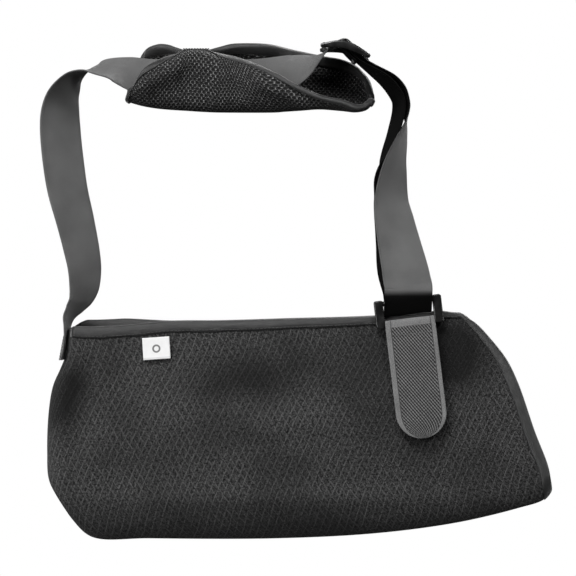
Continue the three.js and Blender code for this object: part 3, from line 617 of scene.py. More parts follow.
def eased(rounded, share, count):
    """Shares from 0 to 1 whose first count crowd towards 0, over the first rounded part."""
    first = rounded * (1 - np.cos(np.pi / 2 * np.arange(count) / count))
    return np.concatenate([first, np.linspace(rounded, 1, share)])


COLUMNS = eased(0.09, 150, 36)
ROWS = eased(0.24, 50, 22)
# The column along which the cloth's pattern is true to the outline.
UV_COLUMN = 90


def pouch_sheet():
    """The outside as one grid: elbow to hand, and front mouth down round the fold to the rear mouth."""
    s = COLUMNS[:, None]
    front = pouch_point(s, ROWS[None, ::-1], True)
    rear = pouch_point(s, ROWS[None, 1:], False)
    points = np.concatenate([front, rear], axis=1)
    normals = grid_normals(points)
    if normals[UV_COLUMN, 5, 1] > 0:
        normals = -normals
    edge = np.gradient(points[0], axis=0)
    wall = [-np.abs(edge[:, 2]), np.zeros(len(edge)), np.sign(edge[:, 2]) * edge[:, 0]]
    normals[0] = unit(np.stack(wall, axis=-1))
    turned = np.gradient(points, axis=0)[:, :, :2], np.gradient(points, axis=1)[:, :, 1:]
    u = np.cumsum(np.linalg.norm(turned[0], axis=-1), axis=0)
    fold = len(ROWS) - 1
    u += points[UV_COLUMN, fold, 0] - u[UV_COLUMN]
    drop = np.cumsum(np.linalg.norm(turned[1], axis=-1), axis=1)
    v = points[:, :1, 2] - drop
    rear = (drop[:, -1:] - drop) + points[:, -1:, 2]
    shift = v[:, fold] + rear[:, fold]
    settle = 1 - smooth(np.abs(np.arange(v.shape[1]) - fold) / fold, 0.2, 0.7)
    v_rear = -rear + shift[UV_COLUMN] + (shift - shift[UV_COLUMN])[:, None] * settle
    v = np.where(np.arange(v.shape[1]) > fold, v_rear, v)
    return points, normals, np.stack([u, v], axis=-1)


SHEET, SHEET_NORMAL, SHEET_UV = pouch_sheet()


def pouch_layer(name, top, bottom):
    """One layer of the laminate, between two depths under the pouch's outside."""
    return shell(name, SHEET - SHEET_NORMAL * top, SHEET - SHEET_NORMAL * bottom, SHEET_UV)


outer = place(pouch_layer("pouch_shell", 0, OUTER_CLOTH), CLOTH, "pouch", "pouch_cloth", "pouch_outer_fabric")
core = place(pouch_layer("pouch_core", *FOAM), FOAM_FINISH, "pouch", "foam", "pouch_foam")
lining = place(pouch_layer("pouch_inside", *LINING), LINING_FINISH, "pouch", "lining_cloth", "pouch_lining")


# ---- Binding folded over an edge ----
def folded(name, edge, inner, edge_normal, inner_normal, wall, lift, ring=False):
    """A tape with rounded faces folded over a sheet's edge: its legs lie on both faces of the sheet."""
    out = unit(edge - inner)
    sections = []
    outside = [(0, 0.35), (0, lift * 0.7), (0.12, lift)]
    outside += [(0.32, lift * 1.3), (0.58, lift * 1.35), (0.84, lift * 1.2)]
    for share, height in outside:
        at, normal = lerp(inner, edge, share), unit(lerp(inner_normal, edge_normal, share))
        sections.append(at + normal * height)
    radius = wall / 2 + lift
    for angle in np.radians([75, 50, 25, 0, -25, -50, -75]):
        sections.append(edge + out * radius * 0.62 * np.cos(angle)
                        + edge_normal * (radius * np.sin(angle) - wall / 2))
    for share, height in reversed(outside):
        at, normal = lerp(inner, edge, share), unit(lerp(inner_normal, edge_normal, share))
        sections.append(at - normal * (height + wall))
    for share in (0.35, 0.8):
        sections.append(lerp(inner, edge, share) - lerp(inner_normal, edge_normal, share) * (wall + 0.32))
    sections.append(edge + out * 0.3 - edge_normal * wall)
    sections.append(edge + out * 0.3)
    for share in (0.8, 0.35):
        sections.append(lerp(inner, edge, share) + lerp(inner_normal, edge_normal, share) * 0.32)
    return swept(name, np.stack(sections, axis=1), ring)


def mouth_binding():
    """Binding along the mouth, down the hand end, round its lower corner and back along the rear."""
    step_s, step_t = BINDING_WIDTH / POUCH_LENGTH, BINDING_WIDTH / POUCH_HEIGHT
    mouth = np.linspace(0.012, 1 - step_s, 130)
    hand = np.linspace(1 - step_t, 0, 70)
    corner_s, corner_t = np.linspace(1 - step_s, 1, 5)[1:-1], np.linspace(1, 1 - step_t, 5)[1:-1]
    s = np.concatenate([mouth, corner_s, np.ones(1), np.ones(3), np.ones(70)])
    t = np.concatenate([np.ones(130), np.ones(3), np.ones(1), corner_t, hand])
    halves = []
    for front in (True, False):
        keep = slice(None) if front else slice(None, -1)
        a, b = s[keep], t[keep]
        a, b = (a, b) if front else (a[::-1], b[::-1])
        within_s, within_t = np.minimum(a, 1 - step_s), np.minimum(b, 1 - step_t)
        halves.append([pouch_point(a, b, front), pouch_point(within_s, within_t, front),
                       face_normal(np.minimum(a, 0.996), np.clip(b, 0.004, 0.996), front),
                       face_normal(within_s, np.maximum(within_t, 0.004), front)])
    edge, inner, edge_normal, inner_normal = [np.concatenate(pair) for pair in zip(*halves)]
    run = lengths(edge)
    puck = 0.25 * np.sin(run / 3.1) * np.sin(run / 11) + 0.2 * np.sin(run / 7.3)
    inner = inner + unit(inner - edge) * puck[:, None]
    return folded("mouth_piping", edge, inner, edge_normal, inner_normal, WALL, 1.0)


def face_normal(s, t, front):
    """Outward unit normal of the pouch's outside."""
    small = 0.002
    along = pouch_point(s + small, t, front) - pouch_point(s - small, t, front)
    across = pouch_point(s, t + small, front) - pouch_point(s, t - small, front)
    return unit(np.cross(along, across)) * (1 if front else -1)


# ---- Threads ----
def cord_rings(line, radius, up, sides=7):
    """Circles round each point of a line."""
    along = unit(np.gradient(line, axis=0))
    side = unit(np.cross(along, up))
    lift = np.cross(side, along)
    angles = np.arange(sides) * 2 * np.pi / sides
    radius = np.broadcast_to(radius, len(line))[:, None, None]
    turned = side[:, None] * np.cos(angles)[None, :, None] + lift[:, None] * np.sin(angles)[None, :, None]
    return line[:, None] + turned * radius


def stitches(name, line, normals, pitch, radius, fill=0.72):
    """A row of sewn stitches: each a short bowed length of thread that dips into the cloth at its ends."""
    run = lengths(line)
    count = max(int(run[-1] / pitch), 1)
    share = np.linspace(0, 1, 9)
    made = []
    for n in range(count):
        where = (n + 0.5 + (share - 0.5) * fill) * run[-1] / count
        at = between(line, run, where)
        up = unit(between(normals, run, where))
        at = at + up * (radius * (1.5 * np.sin(np.pi * share) - 0.5))[:, None]
        made.append(cord_rings(at, radius * (0.35 + 0.65 * np.sin(np.pi * share)), up))
    return bundle(name, made)


def bundle(name, tubes):
    """Several tubes of the same count of points as one piece."""
    points, faces, corners, start = [], [], [], 0
    for rings in tubes:
        count, around = rings.shape[:2]
        along = lengths(rings.mean(axis=1))
        uv = np.stack(np.meshgrid(along, np.arange(around + 1) * 0.3, indexing="ij"), axis=-1)
        more, places = grid_faces(count - 1, around, lambda i, k: start + i * around + k % around, uv)
        faces += more
        corners += places
        for i in (0, count - 1):
            faces.append([start + i * around + k for k in range(around)])
            corners += [uv[i, k] for k in range(around)]
        points.append(rings.reshape(-1, 3))
        start += count * around
    return mesh_object(name, np.vstack(points), faces, corners)


def binding_row(front):
    """Lockstitch row a little inside the binding's lower edge."""
    s = np.linspace(0.016, 0.975, 260)
    t = np.full_like(s, 1 - 0.8 * BINDING_WIDTH / POUCH_HEIGHT)
    normal = face_normal(s, t, front)
    side = "front" if front else "rear"
    line = pouch_point(s, t, front) + normal * 1.2
    row = stitches(f"piping_stitches_{side}", line, normal, 3.1, 0.28)
    return place(row, BLACK_THREAD, "pouch", "thread", f"binding_stitch_{side}")


place(mouth_binding(), SATIN, "pouch", "satin_binding", "mouth_binding")
binding_row(True)
binding_row(False)


# ---- Strap ----
def strip_sections(centres, across, width, thick, crown=0.12):
    """Sections of a woven strip: slightly crowned faces and a rounded, thicker selvedge."""
    along = unit(np.gradient(centres, axis=0))
    across = unit(across - along * np.sum(across * along, axis=-1, keepdims=True))
    face = np.cross(along, across)
    width = np.broadcast_to(width, len(centres))
    shares = np.array([-1, -0.985, -0.94, -0.88, -0.6, -0.2, 0.2, 0.6, 0.88, 0.94, 0.985, 1])
    heights = np.array([0.25, 0.75, 1.0, 0.82, 0.9, 1.0, 1.0, 0.9, 0.82, 1.0, 0.75, 0.25]) * thick / 2
    heights[4:8] += crown
    profile = [*zip(shares, heights), *zip(shares[::-1], -heights[::-1])]
    rows = [centres + across * (share * width / 2)[:, None] + face * height for share, height in profile]
    return np.stack(rows, axis=1)


def smooth_strip(rows, steps):
    """Centres and widths' directions along given rows x, y, z, across x, across y, across z."""
    rows = np.array(rows, float)
    places = np.linspace(0, len(rows) - 1, (len(rows) - 1) * steps + 1)
    turn = np.pad(between(rows[:, 3:], range(len(rows)), places), ((steps, steps), (0, 0)), mode="edge")
    window = np.ones(2 * steps + 1) / (2 * steps + 1)
    soft = np.stack([np.convolve(column, window, "valid") for column in turn.T], axis=-1)
    return through(rows[:, :3], steps), unit(soft)


def flat_rows(*rows):
    """Rows given as x, z whose width runs along Y."""
    return [[x, 0, z, 0, 1, 0] for x, z in rows]


# Radii of the webbing's two layers where they turn round the slider's centre bar.
OUTER_TURN, INNER_TURN = 4.8, 2.9


def round_bar(radius, *degrees):
    """Rows round the slider's centre bar."""
    x, z = SLIDER_BARS[1]
    angles = [math.radians(turn) for turn in degrees]
    return flat_rows(*[(x + radius * math.cos(a), z + radius * math.sin(a)) for a in angles])


# The webbing's rows: x, y, z and its width's direction.
TAIL = [[-150, 0, -198, 0, 1, 0], [-148.3, 0, -190, 0, 1, 0], [-146.7, 0, -180, 0, 1, 0]]
ELBOW_TO_PAD = [
    [-145.9, 0, -171, 0.03, 1, 0],
    [-144.6, 0, -164, 0.16, 0.98, 0],
    [-140.5, 0, -157.5, 0.34, 0.93, 0],
    [-135.6, 0, -150, 0.47, 0.88, 0],
    [-132.8, 0, -141, 0.55, 0.84, 0],
    [-132.4, 0, -126, 0.65, 0.76, 0],
    [-134.8, 0, -110, 0.7, 0.72, 0],
    [-140, 0, -86, 0.76, 0.65, 0],
    [-146, 0, -62, 0.82, 0.57, 0],
    [-149.5, 0, -38, 0.82, 0.57, 0],
    [-151.6, 0, -14, 0.82, 0.57, 0],
    [-151.6, 0, 0, 0.76, 0.65, 0],
    [-149.6, 0, 11, 0.66, 0.75, 0],
    [-145.5, 0, 20, 0.48, 0.87, -0.1],
    [-139.5, 0, 28, 0.24, 0.97, -0.1],
    [-130.5, 0, 33, 0, 1, 0.05],
    [-120, 0, 34, 0, 0.93, 0.36],
    [-110, 1.5, 34, 0, 0.84, 0.54],
    [-98, 2, 32, 0, 0.7, 0.71],
]
UNDER_PAD = [[-78, 0, 27.5, 0, 0.52, 0.85], [-40, 0, 26, 0, 0.45, 0.89]]
PAD_TO_SLIDER = [
    [0, 0, 26, 0, 0.45, 0.89],
    [18, 0, 28.5, 0, 0.5, 0.87],
    [34, 0, 33.5, 0, 0.62, 0.78],
    [46, 0, 39, 0, 0.86, 0.5],
    [54, 0, 43.4, 0, 0.98, 0.2],
    *flat_rows((61.3, 48.8), (67, 53.4)),
    *round_bar(OUTER_TURN, 115, 90),
]
OUTER_LAYER = [
    *round_bar(OUTER_TURN, 90, 60),
    *flat_rows((83.2, 50.6), (91, 41.4), (98.6, 35.8)),
    [105, 0, 31.2, -0.08, 0.99, -0.1],
    [113.6, 0, 25, -0.14, 0.98, -0.12],
    [119.6, 0, 17.6, -0.2, 0.97, -0.1],
    [122.8, 0, 8.8, -0.24, 0.97, -0.05],
    [125, 0, 1.6, -0.14, 0.99, 0],
    [125, -0.5, -9, 0.06, 1, 0],
    [121.6, -1, -21.6, 0.25, 0.97, 0],
    [116.2, -3, -42.4, 0.51, 0.86, 0],
    [113.2, -6, -69.6, 0.76, 0.65, 0],
    [115.2, -9, -86.4, 0.85, 0.53, 0],
    [119, -13.5, -106.4, 0.92, 0.4, 0.05],
    [122.8, -18.5, -124, 0.98, 0.2, 0.08],
    [124.6, -21.4, -134, 0.99, 0.08, 0.11],
]
INNER_LAYER = [
    [124.6, -8.6, -142, 1, 0, 0.1],
    [120, -7.4, -126.4, 0.98, 0.2, 0.05],
    [117.6, -5, -106.4, 0.92, 0.39, 0],
    [114.4, -3, -86.4, 0.8, 0.6, 0],
    [110.6, -1, -69.6, 0.68, 0.73, 0],
    [105.8, 0, -54.4, 0.35, 0.94, 0],
    [105.2, 1.5, -42.4, -0.06, 1, 0],
    [109.5, 2.5, -30.4, -0.16, 0.99, 0],
    [115.4, 2.5, -14.4, -0.24, 0.97, 0],
    [119.2, 1.5, 1.6, -0.25, 0.97, 0],
    [118.6, 0.5, 10, -0.2, 0.97, -0.08],
    [113.6, 0, 18.6, -0.18, 0.97, -0.12],
    [106.6, 0, 26, -0.13, 0.98, -0.14],
    [98, 0, 32.2, -0.06, 0.99, -0.08],
    *flat_rows((89.2, 38.6), (82.6, 44.2)),
    *round_bar(INNER_TURN, -25, 30, 90, 150, 210, 262),
    *flat_rows((78.4, 45.4), (84.6, 39.6)),
]
# The loop round the ring's upper bar, front to rear, as Y and Z from the bar's axis.
RING_LOOP = (
    (-9.8, 11), (-10.4, 7), (-9.2, 2.6), (-6.4, -1.8), (-3.4, -5.8),
    (-0.4, -9.2), (3, -9.8), (5.6, -6.4), (6, 0),
)
# Points on the strap's curve from each row to the next.
STRAP_STEPS = 8


def ring_loop():
    """Rows of the webbing's loop: it stands out in front of the bar, then curls in under it."""
    return [[*(RING_UPPER_BAR + [0.4, y, z]), *BAR_AXIS] for y, z in RING_LOOP]


def strap_piece(name, rows, finish=WEBBING):
    """A length of webbing along given rows, with a slight flutter."""
    centres, across = smooth_strip(rows, STRAP_STEPS)
    run = lengths(centres)
    flutter = 0.25 * np.sin(run / 17) * np.sin(run / 41)
    centres = centres + np.cross(unit(np.gradient(centres, axis=0)), across) * flutter[:, None]
    strip = swept(name, strip_sections(centres, across, WEB_WIDTH, WEB_THICK - 0.1))
    return place(strip, finish, None, "webbing")


elbow_strap = strap_piece("strap_elbow_side", [*TAIL, *ELBOW_TO_PAD, *UNDER_PAD])
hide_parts("shoulder_strap", "strap_tail")
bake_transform(elbow_strap)
top_strap = strap_piece("strap_over_slider", [UNDER_PAD[-1], *PAD_TO_SLIDER])
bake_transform(top_strap)
# The hand-side webbing is painted black as shade from near the front of its loop round the ring's upper bar
# on, through the inner layer, and on its reverse face.
to_ring = lengths(through(np.array([*OUTER_LAYER, *ring_loop()], float)[:, :3], STRAP_STEPS))
first_turn = STRAP_STEPS * (len(OUTER_LAYER) + 1)
PAINTED_SHADE_WEBBING = webbing("painted_shade_webbing", to_ring[first_turn] - 3)
hand_rows = [*OUTER_LAYER, *ring_loop(), *INNER_LAYER]
hand_strap = strap_piece("strap_hand_side", hand_rows, PAINTED_SHADE_WEBBING)
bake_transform(hand_strap)


def zigzag(start, end, half, turns):
    """Corners that step from start to end, to one side of the line and the other in turn."""
    share = np.linspace(0, 1, 2 * turns + 1)[:, None]
    sides = np.where(np.arange(2 * turns + 1) % 2, 1, -1)[:, None]
    return lerp(np.array(start, float), np.array(end, float), share) + sides * np.array(half, float)


def thread_line(name, corners, radius, up, body, node):
    """One black thread along a smooth line through corners."""
    made = bundle(name, [cord_rings(through(corners, 5), radius, np.array(up, float))])
    return place(made, BLACK_THREAD, body, "thread", node)


end_zigzag = zigzag((82.2, -15, 40.2), (82.2, 15, 40.2), (0.8, 0, -0.8), 16)
thread_line("end_bar_tack", end_zigzag, 0.3, (-0.66, 0, -0.75), "slider", "strap_end_tack")
for side, word in ((-1, "front"), (1, "rear")):
    top, low = (-147.7, side * 16.6, -179), (-151.2, side * 16.6, -198)
    overlock = zigzag(top, low, (0, side * 1.7, 0), 9)
    thread_line(f"elbow_overlock_{word}", overlock, 0.32, (-1, 0, 0.16), "pouch", f"tail_stitch_{word}")
# The box stitch's corners: share down the tail, and y.
box_corners = [(0.08, -13), (0.08, 13), (0.9, -13), (0.9, 13)]
box_corners += [(0.08, -13), (0.9, -13), (0.9, 13), (0.08, 13)]
box_top, box_low = np.array([-147.6, 0, -180]), np.array([-151, 0, -197.5])
box_line = np.array([lerp(box_top, box_low, down) + [0, y, 0] for down, y in box_corners])
box_run = at_share(box_line, np.linspace(0, 1, 160))
box_up = np.tile([-0.99, 0, 0.16], (160, 1))
box_stitch = stitches("box_stitch", box_run, box_up, 2.6, 0.28)
place(box_stitch, BLACK_THREAD, "pouch", "thread", "tail_cross_stitch")


# ---- Ring, tab and anchor ----
# How far the tape's rear and front legs come forward for each millimetre down.
ANCHOR_SLOPE, LEG_SLOPE = 0.09, 0.1


def tab_place(down, front):
    """Places below the ring's lower bar, in front of it."""
    down, front = np.broadcast_arrays(np.asarray(down, float), np.asarray(front, float))
    return RING_LOWER_BAR + RING_DOWN * down[..., None] + FRONT * front[..., None]


def tab_half_width(down):
    """Half the tab's width, down to its round end."""
    half = TAB_WIDTH / 2
    over = np.maximum(down - (TAB_LENGTH - half), 0)
    return np.sqrt(np.maximum(half**2 - over**2, 0.4))


def tape_strip():
    """One length of tape: flat behind the ring, round its lower bar, and down the front to a round end."""
    rear = np.linspace(ANCHOR_LENGTH, 1, 22)
    rear_line = tab_place(rear, -TAB_TURN_RADIUS + ANCHOR_SLOPE * rear)
    turn = np.radians(np.linspace(10, 165, 22))
    turn_line = tab_place(-TAB_TURN_RADIUS * np.sin(turn), -TAB_TURN_RADIUS * np.cos(turn))
    leg = TAB_LENGTH - 88 * (1 - np.sin(np.pi / 2 * np.linspace(0, 1, 70)))
    leg_line = tab_place(leg, TAB_TURN_RADIUS + LEG_SLOPE * leg)
    line = np.vstack([rear_line, turn_line, leg_line])
    widths = np.concatenate([np.full(44, TAB_WIDTH - 0.6), 2 * tab_half_width(leg)])
    across = np.tile(BAR_AXIS, (len(line), 1))
    return swept("hook_tape", strip_sections(line, across, widths, TAPE_THICK, 0.03))


tape = place(tape_strip(), TAPE, None, "tape", "tab_tape", "tab_anchor")
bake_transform(tape)

field_drops = TAB_LENGTH - 3 - 56 * (1 - np.sin(np.pi / 2 * np.linspace(0, 1, 40)))
field_fronts = TAB_TURN_RADIUS + LEG_SLOPE * field_drops - TAPE_THICK / 2 - GAP - 0.3
field_line = tab_place(field_drops, field_fronts)
field_widths = 2 * np.maximum(tab_half_width(field_drops + 2) - 2.5, 1)
field = swept("hook_field", strip_sections(field_line, np.tile(BAR_AXIS, (40, 1)), field_widths, 0.7, 0))
place(field, HOOKS, "tab", "hook_plastic", "tab_hook_field")


def tape_stitches(name, down, front, reach, body, node):
    """Stitch row across the tape."""
    x = np.linspace(-reach, reach, 40)[:, None]
    line = tab_place(down, front) + BAR_AXIS * x
    row = stitches(name, line, np.tile(FRONT, (40, 1)), 2.4, 0.22)
    return place(row, GREY_THREAD, body, "thread", node)


tape_stitches("tab_stitches", 9, TAB_TURN_RADIUS + 0.9 + TAPE_THICK / 2 + 0.1, 17, "tab", "tab_loop_stitch")
anchor_front = -TAB_TURN_RADIUS + ANCHOR_SLOPE * (ANCHOR_LENGTH - 3) + TAPE_THICK / 2 + 0.1
tape_stitches("anchor_stitches", ANCHOR_LENGTH - 3, anchor_front, 15, "pouch", "tab_anchor_stitch")


def moulded(name, parts, voxel, node, body):
    """Overlapping closed parts fused into one moulded piece with small fillets where they meet."""
    work = bmesh.new()
    for part in parts:
        work.from_mesh(part.data)
        bpy.data.objects.remove(part)
    mesh = bpy.data.meshes.new(name)
    work.to_mesh(mesh)
    work.free()
    piece = in_scene(name, mesh)
    fuse = piece.modifiers.new("fuse", "REMESH")
    fuse.mode = "VOXEL"
    fuse.voxel_size = voxel * MM
    soften = piece.modifiers.new("soften", "SMOOTH")
    soften.factor = 0.5
    soften.iterations = 6
    bpy.context.view_layer.update()
    baked = bpy.data.meshes.new_from_object(piece.evaluated_get(bpy.context.evaluated_depsgraph_get()))
    piece.modifiers.clear()
    piece.data = baked
    baked.shade_smooth()
    return place(piece, PLASTIC, body, "buckle_plastic", node)


def bar(line, radius, up):
    """A round bar along a line."""
    return bundle("bar", [cord_rings(line, radius, up, 24)])


def round_rect(width, height, radius, steps=6):
    """Outline of a rounded rectangle."""
    made = []
    for cx, cy, start in ((1, 1, 0), (-1, 1, 90), (-1, -1, 180), (1, -1, 270)):
        for n in range(steps):
            angle = math.radians(start + 90 * n / (steps - 1))
            made.append([cx * (width / 2 - radius) + radius * math.cos(angle),
                         cy * (height / 2 - radius) + radius * math.sin(angle)])
    return np.array(made)


def strap_ring():
    """Rectangular ring: flat side rails with rounded corners, and two round bars that widen into them."""
    height = RING_PITCH + 2 * RING_BAR_RADIUS + 1.6
    rail_wide = 7.4
    rail_x = (RING_WIDTH - rail_wide) / 2
    share = np.linspace(-1, 1, 31)
    parts = []
    for x in (-rail_x, rail_x):
        levels = np.array([-2.3, -2.1, -1.6, -0.6, 0.6, 1.6, 2.1, 2.3])
        insets = np.array([0.8, 0.35, 0.08, 0, 0, 0.08, 0.35, 0.8])
        middle = RING_UPPER_BAR + RING_DOWN * RING_PITCH / 2 + BAR_AXIS * x
        rings = []
        for level, inset in zip(levels, insets):
            outline = round_rect(rail_wide - 2 * inset, height - 2 * inset, 1.8)
            rings.append(middle + outline[:, :1] * BAR_AXIS - outline[:, 1:] * RING_DOWN + FRONT * level)
        parts.append(swept("rail", np.stack(rings)))
    for origin in (RING_UPPER_BAR, RING_LOWER_BAR):
        line = origin + BAR_AXIS * (share * rail_x)[:, None]
        radius = RING_BAR_RADIUS - 0.05 + 0.5 * smooth(np.abs(share), 0.88, 0.98)
        parts.append(bar(line, radius, FRONT))
    return moulded("webbing_ring", parts, 0.34, "strap_ring", "ring")


def slider():
    """Tri-glide: two arched rails with rounded ends and three cross bars."""
    (lx, lz), (mx, mz), (rx, rz) = SLIDER_BARS
    ends = [lx - 3, 0, lz - 0.3], [rx + 2.6, 0, rz - 1.6]
    spine = through([ends[0], [lx, 0, lz], [mx, 0, mz], [rx, 0, rz], ends[1]], 10)
    span = WEB_WIDTH + 2 * (GAP + 1.2) + 2 * SLIDER_RAIL
    parts = []
    run = lengths(spine)
    from_end = np.minimum(run, run[-1] - run)
    half = 1.5 * quarter_round(0.35 + from_end / 3) + 1.7 * np.sin(np.pi * run / run[-1])
    for side in (-1, 1):
        centre = spine + np.array([0, side * (span - SLIDER_RAIL) / 2, 0])
        along = unit(np.gradient(centre, axis=0))
        up = np.cross(along, [0, 1, 0])
        outline = round_rect(SLIDER_RAIL, 2, 0.9)
        rings = centre[:, None] + np.array([0, 1, 0]) * outline[None, :, :1]
        rings = rings + up[:, None] * outline[None, :, 1:] * half[:, None, None]
        parts.append(swept("rail", rings))
    for (x, z), radius in zip(SLIDER_BARS, SLIDER_RADII):
        share = np.linspace(-1, 1, 31)
        line = np.array([x, 0, z]) + np.array([0, 1, 0]) * (share * (span - SLIDER_RAIL) / 2)[:, None]
        thick = radius - 0.05 + 0.45 * smooth(np.abs(share), 0.9, 0.99)
        parts.append(bar(line, thick, UP))
    return moulded("tri_glide", parts, 0.3, "tri_glide_slider", "slider")


strap_ring()
slider()


# ---- Shoulder pad ----
# Stations from the left end to the right: the bottom's x, z and half flat width, then each flap's edge
# as x, y, z and its bend as y, z.
PAD_STATIONS = (
    ((-98, 10, 5), (-99, -17.2, 15.2), (-14, 11.5), (-92.5, 22, 34), (22, 20)),
    ((-93.6, 8.6, 6), (-94, -20.4, 20.6), (-18, 13.5), (-90.5, 22, 40), (25, 26)),
    ((-85, 6.4, 8), (-84, -22.6, 32), (-27.6, 20), (-86.5, 19, 50), (30, 33)),
    ((-74, 4.6, 8), (-73, -18, 38), (-30, 28), (-75, 11, 53.4), (29, 37)),
    ((-67, 3.9, 8), (-66, -14, 41), (-30, 36), (-67, 8, 52.6), (29, 43)),
    ((-60, 3.4, 8), (-58, -9, 43.5), (-29, 44), (-60, 6, 50), (30, 50)),
    ((-50, 2.8, 8), (-50, -2, 46.2), (-25, 55), (-50, 2, 47), (26, 56)),
    ((-36, 1.9, 8), (-36, -2, 46.4), (-25, 55), (-36, 2, 47), (25, 57)),
    ((-24, 1.5, 8), (-22, -7.5, 43.6), (-29, 41), (-25, 5, 50), (29, 50)),
    ((18, 1.5, 8), (0, -16, 37), (-30, 29), (-8, 6, 53.5), (28, 42)),
    ((28, 2.2, 8), (20, -22.5, 28), (-29.5, 19), (16, 12, 53.6), (29, 35)),
    ((40, 3, 8), (39, -26.5, 18), (-26.5, 9), (36, 24.5, 50.2), (34, 30)),
    ((56, 4, 8), (57, -28, 10), (-25.5, 5), (58, 29, 46), (35, 26)),
    ((74, 2.6, 7), (75, -25.5, 6), (-21, 2.6), (77, 29, 42.5), (34, 21)),
    ((85, 1.6, 7), (84, -22, 3), (-17, 1.2), (88.5, 27.5, 36.5), (31, 17)),
    ((93, 3.4, 6), (92, -16.5, 3.8), (-13, 2.6), (95.6, 24.6, 27.5), (26.5, 13.5)),
    ((98, 9, 5), (97.5, -11, 9), (-9, 9), (98.8, 14, 14.5), (15.5, 11.5)),
)
# How far the pad's corners draw back from its left and right ends.
PAD_RETREAT = (3, 1.5)
PAD_STEPS = 14
FLAP_STEPS = 60
SEAT_STEPS = 14


def flap_curve(x, z, flat, edge, bend, sign):
    """Bezier curve from the pad's flat bottom to a flap's edge."""
    start = np.array([x, sign * flat, z], float)
    outward = np.array([x, lerp(sign * flat, bend[0], 0.6), z])
    turn = np.array([lerp(x, edge[0], 0.7), *bend])
    t = np.linspace(0, 1, FLAP_STEPS + 1)[:, None]
    lower = (1 - t) ** 3 * start + 3 * (1 - t) ** 2 * t * outward
    return lower + 3 * (1 - t) * t**2 * turn + t**3 * np.array(edge)


def pad_grid():
    """The pad's sheet at the middle of its thickness: left to right, front edge under to the rear edge."""
    sections = []
    for (x, z, flat), front, front_bend, rear, rear_bend in PAD_STATIONS:
        first = flap_curve(x, z, flat, front, front_bend, -1)[::-1]
        last = flap_curve(x, z, flat, rear, rear_bend, 1)
        seat = lerp(first[-1], last[0], np.linspace(0, 1, SEAT_STEPS + 1)[1:-1, None])
        sections.append(np.vstack([first, seat, last]))
    sections = np.stack(sections)
    count = sections.shape[1]
    grid = through(sections.reshape(len(sections), -1), PAD_STEPS).reshape(-1, count, 3)
    corner = np.abs(np.linspace(-1, 1, count))[None, :] ** 3
    x = grid[:, :, 0]
    grid[:, :, 0] -= corner * (PAD_RETREAT[1] * smooth(x, 50, 97) - PAD_RETREAT[0] * smooth(-x, 70, 98))
    return grid


# Soft swells of the pad's sheet: x, share across from the front edge, half length, half width, rise outwards.
PAD_SWELLS = (
    (14, 0.17, 20, 0.07, 4.2),
    (-56, 0.14, 26, 0.06, 3.6),
    (-50, 0.27, 26, 0.07, -2.4),
    (-12, 0.22, 9, 0.14, -3.4),
    (44, 0.27, 16, 0.07, 2.0),
    (30, 0.1, 14, 0.05, -2.0),
    (-74, 0.3, 10, 0.1, -1.4),
    (-30, 0.78, 26, 0.1, 2.0),
    (30, 0.75, 26, 0.1, 2.0),
)


def make_pad():
    middle = pad_grid()
    inward = grid_normals(middle)
    if inward[100, middle.shape[1] // 2, 2] < 0:
        inward = -inward
    across = np.linspace(0, 1, middle.shape[1])[None, :]
    x = middle[:, :, 0]
    free = smooth(across, 0.02, 0.1) * smooth(1 - across, 0.02, 0.1)
    swell = 0
    for cx, cy, long, wide, rise in PAD_SWELLS:
        swell = swell + rise * np.exp(-(((x - cx) / long) ** 2) - (((across - cy) / wide) ** 2))
    middle = middle - inward * (free * swell)[..., None]
    seat = middle.shape[1] // 2
    u = np.cumsum(np.linalg.norm(np.gradient(middle[:, seat], axis=0), axis=-1))
    v = np.cumsum(np.linalg.norm(np.gradient(middle, axis=1), axis=-1), axis=1)
    uv = np.stack([np.broadcast_to(u[:, None], v.shape), v - v[:, seat : seat + 1]], axis=-1)
    half = PAD_SHEET / 2
    sheet = shell("shoulder_pad", middle - inward * half, middle + inward * half, uv, all_round=True)
    place(sheet, MESH, "pad", "pad_air_mesh", "pad_mesh")
    rows, columns = middle.shape[:2]
    rim = [(i, 0) for i in range(0, rows, 2)]
    rim += [(rows - 1, k) for k in range(2, columns - 1, 2)]
    rim += [(i, columns - 1) for i in range(rows - 1, -1, -2)]
    rim += [(0, k) for k in range(columns - 3, 1, -2)]
    reach_i, reach_k = 8, 7
    i, k = np.array(rim).T
    near = np.clip(i, reach_i, rows - 1 - reach_i), np.clip(k, reach_k, columns - 1 - reach_k)
    edge_up, inner_up = -inward[i, k], -inward[near]
    edge, inner = middle[i, k] + edge_up * half, middle[near] + inner_up * half
    binding = folded("pad_piping", edge, inner, edge_up, inner_up, PAD_SHEET, 0.9, True)
    place(binding, SATIN, "pad", "satin_binding", "pad_binding")
    return sheet


pad = make_pad()
pad_zigzag = zigzag((-53, 0, 50.4), (-33, 0, 50.4), (0, 2.6, 0), 9)
thread_line("pad_tack", pad_zigzag, 0.5, UP, "pad", "pad_centre_tack")


